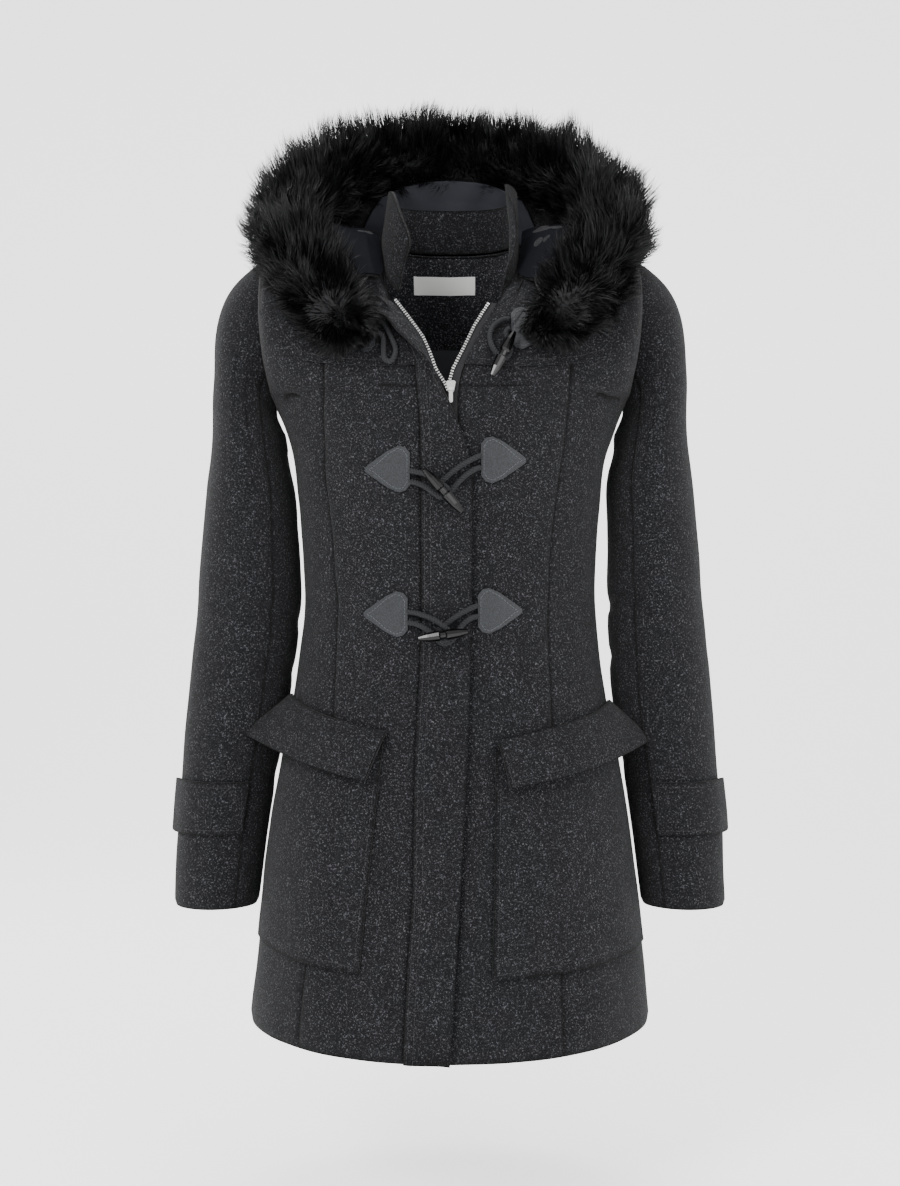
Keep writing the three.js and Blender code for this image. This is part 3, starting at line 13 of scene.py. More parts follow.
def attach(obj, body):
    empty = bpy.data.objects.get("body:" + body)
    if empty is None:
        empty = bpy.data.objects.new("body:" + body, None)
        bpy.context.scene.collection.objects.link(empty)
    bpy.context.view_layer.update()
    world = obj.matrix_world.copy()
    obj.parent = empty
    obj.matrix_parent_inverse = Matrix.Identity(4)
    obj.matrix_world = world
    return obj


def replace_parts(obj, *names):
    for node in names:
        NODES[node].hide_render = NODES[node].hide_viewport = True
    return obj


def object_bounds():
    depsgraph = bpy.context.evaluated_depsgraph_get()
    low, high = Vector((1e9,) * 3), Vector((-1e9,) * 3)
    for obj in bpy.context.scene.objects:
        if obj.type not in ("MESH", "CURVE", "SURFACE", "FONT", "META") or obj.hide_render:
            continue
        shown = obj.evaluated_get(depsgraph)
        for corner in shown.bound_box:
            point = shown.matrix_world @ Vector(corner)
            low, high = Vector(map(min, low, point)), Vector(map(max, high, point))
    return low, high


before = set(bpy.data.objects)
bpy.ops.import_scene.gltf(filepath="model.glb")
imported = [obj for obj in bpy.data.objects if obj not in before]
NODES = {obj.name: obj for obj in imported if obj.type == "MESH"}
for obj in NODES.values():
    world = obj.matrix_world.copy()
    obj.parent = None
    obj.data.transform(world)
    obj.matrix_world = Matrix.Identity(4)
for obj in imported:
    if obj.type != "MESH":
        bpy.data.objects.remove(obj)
CAD_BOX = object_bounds()
COAT = "coat"
MM = 0.001

# Camera, level with the coat's middle
CAMERA_PLACE = (0, -1.6, -0.335)
CAMERA_LENS = 50.6


def add_camera():
    data = bpy.data.cameras.new("camera")
    data.lens = CAMERA_LENS
    camera = bpy.data.objects.new("camera", data)
    camera.location = CAMERA_PLACE
    camera.rotation_euler = (math.pi / 2, 0, 0)
    bpy.context.collection.objects.link(camera)
    bpy.context.scene.camera = camera


add_camera()


# Materials


def new_material(name, colour, roughness, **sockets):
    made = bpy.data.materials.new(name)
    made.use_nodes = True
    shader = made.node_tree.nodes["Principled BSDF"]
    shader.inputs["Base Color"].default_value = (*colour, 1)
    shader.inputs["Roughness"].default_value = roughness
    for key, value in sockets.items():
        shader.inputs[key.replace("_", " ")].default_value = value
    return made


def node_of(material, kind, **values):
    node = material.node_tree.nodes.new(kind)
    for key, value in values.items():
        node.inputs[key.replace("_", " ")].default_value = value
    return node


def object_noise(material, scale, detail=4, roughness=0.6):
    """Noise in the object's own coordinates, in metres."""
    place = material.node_tree.nodes.new("ShaderNodeTexCoord")
    made = node_of(material, "ShaderNodeTexNoise", Scale=scale, Detail=detail, Roughness=roughness)
    material.node_tree.links.new(place.outputs["Object"], made.inputs["Vector"])
    return made


def ramp(material, source, stops):
    """Colours by value. stops are (place, colour)."""
    made = material.node_tree.nodes.new("ShaderNodeValToRGB")
    elements = made.color_ramp.elements
    while len(elements) < len(stops):
        elements.new(0.5)
    for element, (place, colour) in zip(elements, stops):
        element.position = place
        element.color = (*colour, 1)
    material.node_tree.links.new(source, made.inputs["Fac"])
    return made


def multiply_colours(material, a, b):
    made = material.node_tree.nodes.new("ShaderNodeMixRGB")
    made.blend_type = "MULTIPLY"
    made.inputs["Fac"].default_value = 1.0
    links = material.node_tree.links
    links.new(a, made.inputs["Color1"])
    links.new(b, made.inputs["Color2"])
    return made


def add_bump(material, height, strength, distance):
    bump = node_of(material, "ShaderNodeBump", Strength=strength, Distance=distance)
    links = material.node_tree.links
    links.new(height, bump.inputs["Height"])
    links.new(bump.outputs["Normal"], material.node_tree.nodes["Principled BSDF"].inputs["Normal"])


def set_colour(material, source):
    shader = material.node_tree.nodes["Principled BSDF"]
    material.node_tree.links.new(source, shader.inputs["Base Color"])


# Painted shade beside the cut edges of the cloth: the name of the attribute that marks it, and how dark the
# colour gets at an edge
EDGE_SHADE = "edge_shade"
EDGE_TONE = 0.22
WOOL_DARK = (0.0022, 0.0023, 0.0028)
WOOL_MID = (0.0072, 0.0074, 0.0086)
WOOL_LIGHT = (0.085, 0.086, 0.094)
FLECK_SCALE = 640
VEIL_SCALE = 95
NAP_SCALE = 900
LEATHER_LIGHT = (0.022, 0.025, 0.03)
LEATHER_DARK = (0.006, 0.0068, 0.0082)
LEATHER_GRAIN = 900
FUR_DARK = (0.0005, 0.0005, 0.0006)
FUR_MID = (0.0011, 0.0011, 0.0015)
FUR_LIGHT = (0.0045, 0.005, 0.0063)


def wool_material(name, brightness=1.0):
    """Brushed wool: dark ground, paler fibres in flecks and a matt nap, with painted shade beside the cut
    edges.
    """
    made = new_material(
        name, WOOL_MID, 0.95, Sheen_Weight=0.03, Sheen_Roughness=0.6, Specular_IOR_Level=0.1
    )
    # brightness scales every colour, for a copy of the wool with painted light
    shade = [tuple(v * brightness for v in colour) for colour in (WOOL_DARK, WOOL_MID, WOOL_LIGHT)]
    flecks = object_noise(made, FLECK_SCALE, 3, 0.75)
    ground = ramp(made, flecks.outputs["Fac"], [(0.38, shade[0]), (0.56, shade[1]), (0.73, shade[2])])
    patches = object_noise(made, VEIL_SCALE, 3, 0.6)
    veil = ramp(made, patches.outputs["Fac"], [(0.35, (0.8,) * 3), (0.7, (1.15,) * 3)])
    both = multiply_colours(made, ground.outputs["Color"], veil.outputs["Color"])
    # Painted shade: the colour darkens beside the cut edges, as in the shadow of a seam
    edges = made.node_tree.nodes.new("ShaderNodeAttribute")
    edges.attribute_name = EDGE_SHADE
    shadow = ramp(made, edges.outputs["Fac"], [(0.0, (1.0,) * 3), (1.0, (EDGE_TONE,) * 3)])
    shaded = multiply_colours(made, both.outputs["Color"], shadow.outputs["Color"])
    set_colour(made, shaded.outputs["Color"])
    nap = object_noise(made, NAP_SCALE, 5, 0.75)
    add_bump(made, nap.outputs["Fac"], 0.55, 0.0012)
    return made


def leather_material():
    """Grained leather: dark cells with paler hollows."""
    made = new_material("leather", (0.01, 0.011, 0.013), 0.5, Specular_IOR_Level=0.3)
    place = made.node_tree.nodes.new("ShaderNodeTexCoord")
    grain = node_of(made, "ShaderNodeTexVoronoi", Scale=LEATHER_GRAIN)
    made.node_tree.links.new(place.outputs["Object"], grain.inputs["Vector"])
    tones = ramp(made, grain.outputs["Distance"], [(0.0, LEATHER_LIGHT), (0.6, LEATHER_DARK)])
    set_colour(made, tones.outputs["Color"])
    add_bump(made, grain.outputs["Distance"], -0.6, 0.0006)
    return made


def satin_material(name, colour, roughness, shine):
    made = new_material(name, colour, roughness, Specular_IOR_Level=shine)
    soft = object_noise(made, 30, 3, 0.5)
    add_bump(made, soft.outputs["Fac"], 0.35, 0.004)
    return made


def fur_material():
    made = new_material("fur", (0.002, 0.002, 0.0025), 0.45, Specular_IOR_Level=0.2)
    tones = object_noise(made, 70, 4, 0.7)
    mixed = ramp(made, tones.outputs["Fac"], [(0.35, FUR_DARK), (0.55, FUR_MID), (0.75, FUR_LIGHT)])
    set_colour(made, mixed.outputs["Color"])
    return made


def woven_material(name, colour, scale=1500):
    made = new_material(name, colour, 0.8, Specular_IOR_Level=0.25)
    weave = object_noise(made, scale, 2, 0.5)
    add_bump(made, weave.outputs["Fac"], 0.4, 0.0004)
    return made


WOOL = wool_material("wool")
# A copy of the wool 2.6 times brighter: painted light on the inside of the neck, where the lamps hardly reach
WOOL_PAINTED_LIGHT = wool_material("wool_painted_light", 2.6)
LEATHER = leather_material()
SATIN = satin_material("satin", (0.034, 0.035, 0.042), 0.36, 0.4)
# A darker copy of the satin for the side linings of the hood: painted shade
SHADED_SATIN = satin_material("shaded_satin", (0.007, 0.0072, 0.0088), 0.85, 0.0)
FUR = fur_material()
FUR_GROUND = new_material("fur_ground", (0.004, 0.004, 0.005), 0.9)
ROPE = woven_material("rope", (0.012, 0.0125, 0.014))
TAPE = woven_material("tape", (0.006, 0.006, 0.007))
LABEL = woven_material("label", (0.78, 0.78, 0.76), 2500)
HORN = new_material("horn", (0.001, 0.001, 0.0012), 0.18, Specular_IOR_Level=0.28)
NICKEL = new_material("nickel", (0.5, 0.5, 0.49), 0.3, Metallic=1.0)
PALE = new_material(
    "pale",
    (0.93, 0.93, 0.93),
    0.9,
    Specular_IOR_Level=0.1,
    Emission_Color=(1, 1, 1, 1),
    Emission_Strength=0.6,
)
THREAD = new_material("thread", (0.004, 0.004, 0.005), 0.8)
GREY_THREAD = new_material("grey_thread", (0.035, 0.037, 0.043), 0.6)


# Pieces


def smooth_faces(mesh):
    for polygon in mesh.polygons:
        polygon.use_smooth = True


def add_piece(name, mesh, material, slot):
    piece = bpy.data.objects.new(name, mesh)
    bpy.context.collection.objects.link(piece)
    piece.data.materials.clear()
    piece.data.materials.append(material)
    for polygon in piece.data.polygons:
        polygon.material_index = 0
    smooth_faces(piece.data)
    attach(piece, COAT)
    return piece


def mesh_from(name, points, faces):
    mesh = bpy.data.meshes.new(name)
    mesh.from_pydata([tuple(p) for p in points], [], faces)
    mesh.validate()
    return mesh


# Cords: three strands laid round a line. The points repeat the solids' routes, in millimetres.

STRAND_COUNT = 3
STRAND_RADIUS = 1.25
STRAND_SIDES = 6
STRAND_OFFSET = 1.4
LAY_LENGTH = 8
CORD_ROUTES = {
    "cord_toggle_1": [
        (53.6, -103.7, -88.9), (46.7, -105.8, -90.3), (39.0, -109.6, -96.1), (35.4, -114.5, -105.4),
        (37.4, -118.9, -115.7), (43.1, -121.7, -124.0), (49.7, -121.7, -126.1), (53.7, -118.8, -119.9),
        (52.8, -115.2, -110.5), (49.9, -112.4, -103.8), (50.9, -110.4, -100.2), (53.6, -109.1, -98.3),
    ],
    "cord_loop_1": [
        (-63.4, -105.7, -90.9), (-59.1, -106.4, -93.2), (-55.6, -110.1, -100.0), (-51.3, -115.3, -109.3),
        (-48.2, -119.9, -119.7), (-51.8, -122.6, -129.2), (-57.9, -121.4, -127.1), (-59.1, -118.1, -117.7),
        (-59.3, -114.6, -109.3), (-60.5, -112.5, -104.7), (-64.0, -111.9, -102.8),
    ],
    "cord_toggle_2": [
        (-35.2, -126.0, -226.9), (-29.4, -128.1, -228.2), (-22.4, -130.6, -230.0), (-15.9, -133.2, -233.5),
        (-8.7, -134.9, -238.5), (-2.5, -134.6, -242.7), (-1.5, -133.7, -247.7), (-6.6, -133.0, -250.2),
        (-13.4, -132.9, -247.6), (-21.5, -130.0, -241.4), (-29.5, -126.8, -237.8), (-35.2, -124.6, -236.5),
    ],
    "cord_loop_2": [
        (27.0, -128.3, -213.7), (20.9, -132.8, -216.5), (14.2, -132.6, -220.2), (6.1, -131.4, -225.3),
        (-2.0, -130.3, -231.9), (-9.1, -129.1, -238.6), (-12.7, -127.9, -244.6), (-9.6, -127.0, -250.1),
        (-3.0, -127.3, -248.6), (4.0, -128.8, -241.1), (12.2, -130.7, -232.6), (20.9, -131.8, -226.5),
        (27.0, -127.4, -223.9),
    ],
    "cord_toggle_3": [
        (-37.8, -110.0, -352.0), (-30.5, -112.5, -352.9), (-22.5, -115.4, -355.4), (-14.4, -118.9, -358.8),
        (-6.7, -121.4, -363.8), (-0.5, -121.8, -369.3), (-1.5, -121.9, -375.7), (-7.7, -121.7, -377.2),
        (-14.4, -120.6, -372.3), (-22.6, -116.6, -366.3), (-30.5, -112.9, -362.7), (-37.7, -110.1, -361.4),
    ],
    "cord_loop_3": [
        (24.6, -111.6, -346.3), (18.9, -116.2, -348.4), (12.2, -116.1, -351.9), (4.1, -115.7, -356.9),
        (-4.0, -115.6, -362.9), (-10.2, -115.6, -369.4), (-11.2, -115.7, -376.4), (-5.1, -115.9, -380.3),
        (2.0, -115.8, -376.9), (7.1, -115.8, -368.9), (12.7, -116.0, -361.9), (18.9, -116.3, -357.4),
        (24.6, -111.7, -355.8),
    ],
}


def smooth_line(points, spacing):
    """Points along a curve through the given ones, an even distance apart, and how far along each lies."""
    knots = [np.array(p, float) for p in points]
    ends = [2 * knots[0] - knots[1], *knots, 2 * knots[-1] - knots[-2]]
    dense = []
    for a, b, c, d in zip(ends, ends[1:], ends[2:], ends[3:]):
        for t in np.linspace(0, 1, 12, endpoint=False):
            square = 2 * a - 5 * b + 4 * c - d
            cube = 3 * b - a - 3 * c + d
            dense.append(0.5 * (2 * b + (c - a) * t + square * t**2 + cube * t**3))
    dense.append(knots[-1])
    dense = np.array(dense)
    along = np.concatenate([[0], np.cumsum(np.linalg.norm(np.diff(dense, axis=0), axis=1))])
    wanted = np.linspace(0, along[-1], max(2, int(round(along[-1] / spacing)) + 1))
    return np.column_stack([np.interp(wanted, along, dense[:, k]) for k in range(3)]), wanted


def tube_rings(line, radii, sides, facing=(0, -1, 0)):
    """Rings of points round a line, with their first point towards facing."""
    tangents = np.gradient(line, axis=0)
    tangents /= np.linalg.norm(tangents, axis=1, keepdims=True)
    side = np.cross(tangents, np.array(facing, float))
    side /= np.linalg.norm(side, axis=1, keepdims=True)
    up = np.cross(side, tangents)
    angles = np.arange(sides) * 2 * math.pi / sides
    rings = (
        line[:, None, :]
        + radii[:, None, None] * np.cos(angles)[None, :, None] * up[:, None, :]
        + radii[:, None, None] * np.sin(angles)[None, :, None] * side[:, None, :]
    )
    return rings, up, side


def ring_faces(count, sides, start=0):
    """Faces of a closed tube whose rings of points follow each other."""
    faces = []
    for i in range(count - 1):
        for j in range(sides):
            k = (j + 1) % sides
            a, b = start + i * sides, start + (i + 1) * sides
            faces.append((a + j, a + k, b + k, b + j))
    faces.append(tuple(start + j for j in reversed(range(sides))))
    faces.append(tuple(start + (count - 1) * sides + j for j in range(sides)))
    return faces


def add_cord(name, points):
    """A rope of laid strands along its route."""
    line, along = smooth_line(points, 1.0)
    radii = np.full(len(line), STRAND_RADIUS)
    _, up, side = tube_rings(line, radii, STRAND_SIDES)
    vertices, faces = [], []
    for strand in range(STRAND_COUNT):
        turn = along * 2 * math.pi / LAY_LENGTH + strand * 2 * math.pi / STRAND_COUNT
        offset = np.cos(turn)[:, None] * up + np.sin(turn)[:, None] * side
        rings, _, _ = tube_rings(line + STRAND_OFFSET * offset, radii, STRAND_SIDES)
        faces += ring_faces(len(line), STRAND_SIDES, len(vertices))
        vertices += list(rings.reshape(-1, 3) * MM)
    piece = add_piece(name + "_rope", mesh_from(name, vertices, faces), ROPE, "rope")
    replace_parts(piece, name)


for cord_name, cord_points in CORD_ROUTES.items():
    add_cord(cord_name, cord_points)


# Cloth: each piece starts as its solid's own surface, made finer and smooth


def evaluated(piece):
    graph = bpy.context.evaluated_depsgraph_get()
    return bpy.data.meshes.new_from_object(piece.evaluated_get(graph))


def points_of(mesh):
    points = np.empty(len(mesh.vertices) * 3)
    mesh.vertices.foreach_get("co", points)
    return points.reshape(-1, 3)


def set_points(mesh, points):
    mesh.vertices.foreach_set("co", np.asarray(points, float).ravel())
    mesh.update()


RIM_ANGLE = math.radians(38)


def solid_cage(node):
    """The node's mesh in quads where it can be, with its rims marked to stay sharp."""
    mesh = NODES[node].data.copy()
    work = bmesh.new()
    work.from_mesh(mesh)
    bmesh.ops.remove_doubles(work, verts=work.verts, dist=2e-6)
    bmesh.ops.join_triangles(
        work,
        faces=work.faces,
        angle_face_threshold=math.radians(30),
        angle_shape_threshold=math.radians(75),
    )
    crease = work.edges.layers.float.get("crease_edge") or work.edges.layers.float.new("crease_edge")
    for edge in work.edges:
        if len(edge.link_faces) == 2 and edge.calc_face_angle(0) > RIM_ANGLE:
            edge[crease] = 1.0
    work.to_mesh(mesh)
    work.free()
    return mesh


def refine(piece, levels, simple=False):
    """Subdivides. The smooth kind still passes through the points of the cage."""
    cage = points_of(piece.data)
    modifier = piece.modifiers.new("finer", "SUBSURF")
    modifier.levels = levels
    modifier.subdivision_type = "SIMPLE" if simple else "CATMULL_CLARK"
    if not simple:
        shaped = cage.copy()
        for _ in range(3):
            reached = points_of(evaluated(piece))[: len(cage)]
            shaped += cage - reached
            set_points(piece.data, shaped)
    mesh = evaluated(piece)
    piece.modifiers.clear()
    piece.data = mesh


# Folds of the body: (x1, z1, x2, z2, width, height) in millimetres, on the front or the back
FRONT_FOLDS = [
    (-150, -165, -118, -250, 16, 3.0),
    (-128, -170, -96, -238, 12, -2.2),
    (148, -170, 112, -262, 18, 3.2),
    (126, -180, 92, -252, 13, -2.4),
    (-132, -300, -70, -330, 14, 1.8),
    (-128, -345, -84, -352, 12, -2.0),
    (132, -318, 74, -338, 15, 2.0),
    (128, -352, 80, -372, 12, -2.0),
    (-120, -520, -132, -735, 26, 3.2),
    (-84, -660, -88, -745, 20, -2.6),
    (118, -640, 130, -742, 24, 3.0),
    (62, -650, 74, -748, 20, -2.4),
    (-52, -420, -58, -740, 18, -1.6),
    (48, -430, 44, -610, 20, -1.4),
]
BACK_FOLDS = [
    (-120, -190, -70, -270, 18, 3.0),
    (124, -186, 84, -280, 16, -2.8),
    (-90, -320, 60, -338, 14, 2.4),
    (-50, -352, 96, -366, 12, -2.2),
    (-64, -420, -78, -738, 26, 3.6),
    (20, -470, 14, -740, 24, -3.0),
    (96, -430, 112, -738, 28, 3.4),
    (-128, -520, -140, -736, 22, -2.6),
]
# Where the hard pieces lie, the body keeps its shape: (x, z, half width, half height)
STILL = [(0, -150, 88, 130), (0, -240, 80, 60), (0, -365, 80, 60), (0, -560, 12, 400)]
# How far a fold sways from its straight line, and the shares of its length that are full and fade
FOLD_SWAY = 5
FOLD_FULL = 0.3
FOLD_FADE = 0.03
# The shell's half width over its half depth
BODY_ROUNDNESS = 1.5
# The sleeve's middle line: heights, and distances from the coat's middle
SLEEVE_HEIGHTS = [-631, -400, -190, -60]
SLEEVE_MIDDLES = [223, 199, 191, 176]


def fold_heights(x, z, folds):
    """How high the folds stand at each place: soft ridges along lines that sway a little."""
    heights = np.zeros(len(x))
    for x1, z1, x2, z2, width, height in folds:
        run = np.array([x2 - x1, z2 - z1], float)
        length = np.linalg.norm(run)
        run /= length
        along = ((x - x1) * run[0] + (z - z1) * run[1]) / length
        across = (x - x1) * run[1] - (z - z1) * run[0]
        across = across + FOLD_SWAY * np.sin(along * 5 + x1)
        ends = np.exp(-np.clip(np.abs(along - 0.5) - FOLD_FULL, 0, None) ** 2 / FOLD_FADE)
        heights += height * np.exp(-((across / width) ** 2)) * ends
    return heights


def still_share(x, z):
    """0 where the body keeps its shape, rising to 1 away from there."""
    share = np.ones(len(x))
    for cx, cz, half_x, half_z in STILL:
        far = np.maximum(np.abs(x - cx) / half_x, np.abs(z - cz) / half_z)
        share = np.minimum(share, np.clip((far - 1) / 0.35, 0, 1))
    return share


def wander(points, scale, seed):
    """Smooth noise from -1 to 1 at points in metres."""
    shift = Vector((seed * 7.3, seed * 3.1, seed * 5.7))
    return np.array([noise.noise(Vector(p) * scale + shift) for p in points])


def unit(vectors):
    return vectors / np.maximum(np.linalg.norm(vectors, axis=1, keepdims=True), 1e-6)


def body_out(points):
    """The way out of the body, level with the floor."""
    return unit(points * (1 / BODY_ROUNDNESS, 1, 0))


def sleeve_middle(z):
    """How far the sleeve's middle line lies from the coat's middle at a height, in millimetres."""
    return np.interp(z, SLEEVE_HEIGHTS, SLEEVE_MIDDLES)


def sleeve_out(points):
    across = points[:, 0] - np.sign(points[:, 0]) * sleeve_middle(points[:, 2] / MM) * MM
    return unit(np.column_stack([across, points[:, 1], np.zeros(len(points))]))


def hood_out(points):
    return unit(np.column_stack([points[:, 0] / 2, points[:, 1] - 60 * MM, np.zeros(len(points))]))


def body_field(points):
    """How far each point of the body moves, in metres."""
    x, y, z = (points / MM).T
    front, back = fold_heights(x, z, FRONT_FOLDS), fold_heights(x, z, BACK_FOLDS)
    towards_back = np.clip(0.5 + y / 60, 0, 1)
    height = front * (1 - towards_back) + back * towards_back
    height += 1.5 * wander(points, 9, 1) + 0.7 * wander(points, 26, 2)
    fade = np.clip((-95 - z) / 70, 0, 1) * still_share(x, z)
    return body_out(points) * (height * fade * MM)[:, None]


def left_front_field(points):
    """Folds of the left front, whose edge also runs on under the placket below the zip."""
    x, y, z = (points / MM).T
    under = np.clip((-640 - z) / 40, 0, 1) * np.clip(1 - (x + 8) / 50, 0, 1)
    move = body_field(points)
    move[:, 0] -= 11 * MM * under
    return move


# Where the placket is sewn to the right front: x and height
PLACKET_SEAM = [(-41.5, -752), (-38, -672), (-33, -600), (-31, -480), (-27, -405), (-25.5, -340), (-26, -200)]
PLACKET_SEAM += [(-31, -131), (-42, -105)]
# The free edge of the placket: height and x
PLACKET_EDGE = [(-760, -1.2), (-672, 4.6), (-560, 11), (-405, 17.5), (-234, 19.5), (-200, 12.5)]
PLACKET_LIFT = 2.6
PLACKET_PRESS = 1.7
FLAP_LIFT = 3.5


def placket_field(points):
    """Folds of the placket, whose free edge stands a little off the front and whose seam is pressed."""
    x, y, z = (points / MM).T
    seam_x, seam_z = zip(*PLACKET_SEAM)
    near_seam = np.clip(1 - (x - np.interp(z, seam_z, seam_x)) / 7, 0, 1) ** 2
    heights, edges = zip(*PLACKET_EDGE)
    near_edge = np.clip((x - np.interp(z, heights, edges) + 15) / 15, 0, 1) ** 2
    below_zip = np.clip((-205 - z) / 30, 0, 1)
    lift = PLACKET_LIFT * near_edge * below_zip * (1 + 0.3 * np.sin(z / 31))
    return body_field(points) + body_out(points) * ((lift - PLACKET_PRESS * near_seam) * MM)[:, None]


def flap_field(points):
    """Folds of a pocket flap, whose lower edge stands off the pocket."""
    x, y, z = (points / MM).T
    top = -463 + 30 * np.clip((np.abs(x) - 55) / 115, 0, 1)
    lift = FLAP_LIFT * np.clip((top - z - 14) / 28, 0, 1)
    return body_field(points) + body_out(points) * (lift * MM)[:, None]


# Folds of the sleeves: (height, turn from the outer side in degrees, half height, half turn, height of fold)
SLEEVE_FOLDS = [
    (-150, 60, 22, 50, 2.4),
    (-205, 150, 14, 60, -2.6),
    (-236, 120, 12, 70, 2.4),
    (-330, 170, 13, 70, 3.0),
    (-352, 150, 9, 60, -3.0),
    (-376, 175, 12, 80, 3.2),
    (-402, 160, 9, 60, -2.6),
    (-430, 190, 14, 60, 2.2),
    (-360, 20, 30, 40, -1.6),
    (-470, 60, 30, 50, 1.8),
    (-505, 200, 12, 60, -1.8),
    (-590, 100, 20, 70, 1.6),
    (-300, 270, 16, 60, 2.0),
    (-388, 280, 14, 60, -2.2),
    (-120, 250, 20, 50, 2.0),
]


def sleeve_field(points, side):
    """Folds of a sleeve, which lie a little differently on each side and shallow towards the body."""
    x, y, z = (points / MM).T
    across = x * side - sleeve_middle(z)
    turn = np.degrees(np.arctan2(-y, across)) % 360
    shift = 14 if side > 0 else -8
    height = 1.2 * wander(points, 16, 3 + side)
    for fold_z, fold_turn, half_z, half_turn, fold in SLEEVE_FOLDS:
        away = (turn - fold_turn - shift + 180) % 360 - 180
        slope = z - fold_z - shift * 0.6 + 0.12 * away
        fall = np.exp(-((slope / half_z) ** 2) - (away / half_turn) ** 2)
        height += fold * fall * (1.0 if side > 0 else 0.85)
    fade = np.clip((-70 - z) / 60, 0, 1)
    inner = np.clip(-across / 40, 0, 1)
    height = np.where(height * inner > 0, height * (1 - 0.8 * inner), height)
    return sleeve_out(points) * (height * fade * MM)[:, None]


def hood_field(points):
    """Soft dents of the hanging hood, and small gathers low on its back."""
    x, y, z = (points / MM).T
    height = 3.0 * wander(points, 12, 6) + 1.2 * wander(points, 34, 7)
    fade = np.clip((y - 40) / 40, 0, 1) * np.clip((70 - z) / 60, 0, 1)
    height += 2.2 * np.sin(x / 17 + 0.8) * np.clip((y - 60) / 40, 0, 1) * np.clip(-z / 60, 0, 1)
    return hood_out(points) * (height * fade * MM)[:, None]


def no_field(points):
    return np.zeros_like(points)


def right_sleeve_field(points):
    return sleeve_field(points, -1)


def left_sleeve_field(points):
    return sleeve_field(points, 1)


# Pieces of cloth with a grid of their own: node, levels, field, cut width, cut length and area, in metres
GRID_PIECES = [
    ("front_right_centre", 3, body_field, 0.13, 0.76, 0.066),
    ("front_right_side", 3, body_field, 0.15, 0.76, 0.079),
    ("front_left_centre", 3, left_front_field, 0.14, 0.76, 0.068),
    ("front_left_side", 3, body_field, 0.16, 0.76, 0.092),
    ("back_right_side", 3, body_field, 0.18, 0.76, 0.101),
    ("back_left_side", 3, body_field, 0.18, 0.76, 0.101),
    ("back_centre", 3, body_field, 0.22, 0.76, 0.126),
    ("sleeve_right_upper", 3, right_sleeve_field, 0.23, 0.64, 0.112),
    ("sleeve_right_under", 3, right_sleeve_field, 0.11, 0.52, 0.046),
    ("sleeve_left_upper", 3, left_sleeve_field, 0.23, 0.64, 0.111),
    ("sleeve_left_under", 3, left_sleeve_field, 0.11, 0.52, 0.046),
    ("cuff_tab_right", 3, right_sleeve_field, 0.05, 0.12, 0.0056),
    ("cuff_tab_left", 3, left_sleeve_field, 0.05, 0.12, 0.0056),
    ("front_placket", 2, placket_field, 0.05, 0.7, 0.029),
    ("collar_stand", 2, no_field, 0.07, 0.36, 0.021),
    ("pocket_right", 3, body_field, 0.15, 0.23, 0.03),
    ("pocket_left", 3, body_field, 0.18, 0.23, 0.036),
    ("pocket_flap_right", 3, flap_field, 0.05, 0.16, 0.0065),
    ("pocket_flap_left", 3, flap_field, 0.05, 0.17, 0.007),
    ("hood_right", 3, hood_field, 0.24, 0.42, 0.076),
    ("hood_left", 3, hood_field, 0.24, 0.42, 0.074),
]
# Pieces cut to an outline that lie on the panels, outside or inside
FITTED_PIECES = [
    ("yoke_right", 2, WOOL, "wool", 0.16, 0.17, 0.0205),
    ("yoke_left", 2, WOOL, "wool", 0.17, 0.17, 0.0215),
    ("yoke_back", 2, WOOL, "wool", 0.38, 0.17, 0.051),
    # The back neck facing gets the wool with painted light
    ("back_neck_facing", 2, WOOL_PAINTED_LIGHT, "wool", 0.15, 0.12, 0.0125),
    ("back_lining", 2, SATIN, "satin", 0.18, 0.15, 0.025),
    ("neck_label", 2, LABEL, "label", 0.061, 0.019, 0.0011),
]
INSIDE_PIECES = ("back_neck_facing", "back_lining", "neck_label")
PATCHES = [f"patch_{side}_{number}" for side in ("right", "left") for number in (1, 2, 3)]
PANELS = [row[0] for row in GRID_PIECES[:7]]
# The panels' smooth meshes before their folds
EVEN_MESHES = {}
PRESS_DEPTH = 1.7 * MM
PRESS_REACH = 6 * MM
SHADE_REACH = 1.6 * MM
SEAM_OVERLAP = 0.4 * MM
PRESSED = ("front_right", "front_left", "back", "sleeve")
JOINED = PRESSED + ("hood", "front_placket")
WAYS_OUT = {
    body_field: body_out,
    left_front_field: body_out,
    right_sleeve_field: sleeve_out,
    left_sleeve_field: sleeve_out,
    hood_field: hood_out,
    placket_field: body_out,
    no_field: body_out,
}


def add_grid_piece(node, levels, field, width, length, area):
    """A sheet on its solid's form, with its folds, pressed seams and crisp edges."""
    piece = add_piece(node + "_cloth", solid_cage(node), WOOL, "wool")
    refine(piece, levels)
    smooth_faces(piece.data)
    EVEN_MESHES[node] = piece.data.copy()
    points = points_of(piece.data)
    set_points(piece.data, points + field(points))
    sharpen_rims(piece)
    away = rim_distances(piece)
    shade_rims(piece, away)
    if node.startswith(PRESSED):
        press_rims(piece, WAYS_OUT[field], away)
    if node.startswith(JOINED):
        widen_rims(piece, WAYS_OUT[field])
    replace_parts(piece, node)


def rim_distances(piece):
    """How far each point lies from the nearest cut edge, in metres."""
    work = bmesh.new()
    work.from_mesh(piece.data)
    rim = [vertex for vertex in work.verts if any(not edge.smooth for edge in vertex.link_edges)]
    tree = KDTree(len(rim))
    for i, vertex in enumerate(rim):
        tree.insert(vertex.co, i)
    tree.balance()
    away = np.array([tree.find(vertex.co)[2] for vertex in work.verts])
    work.free()
    return away


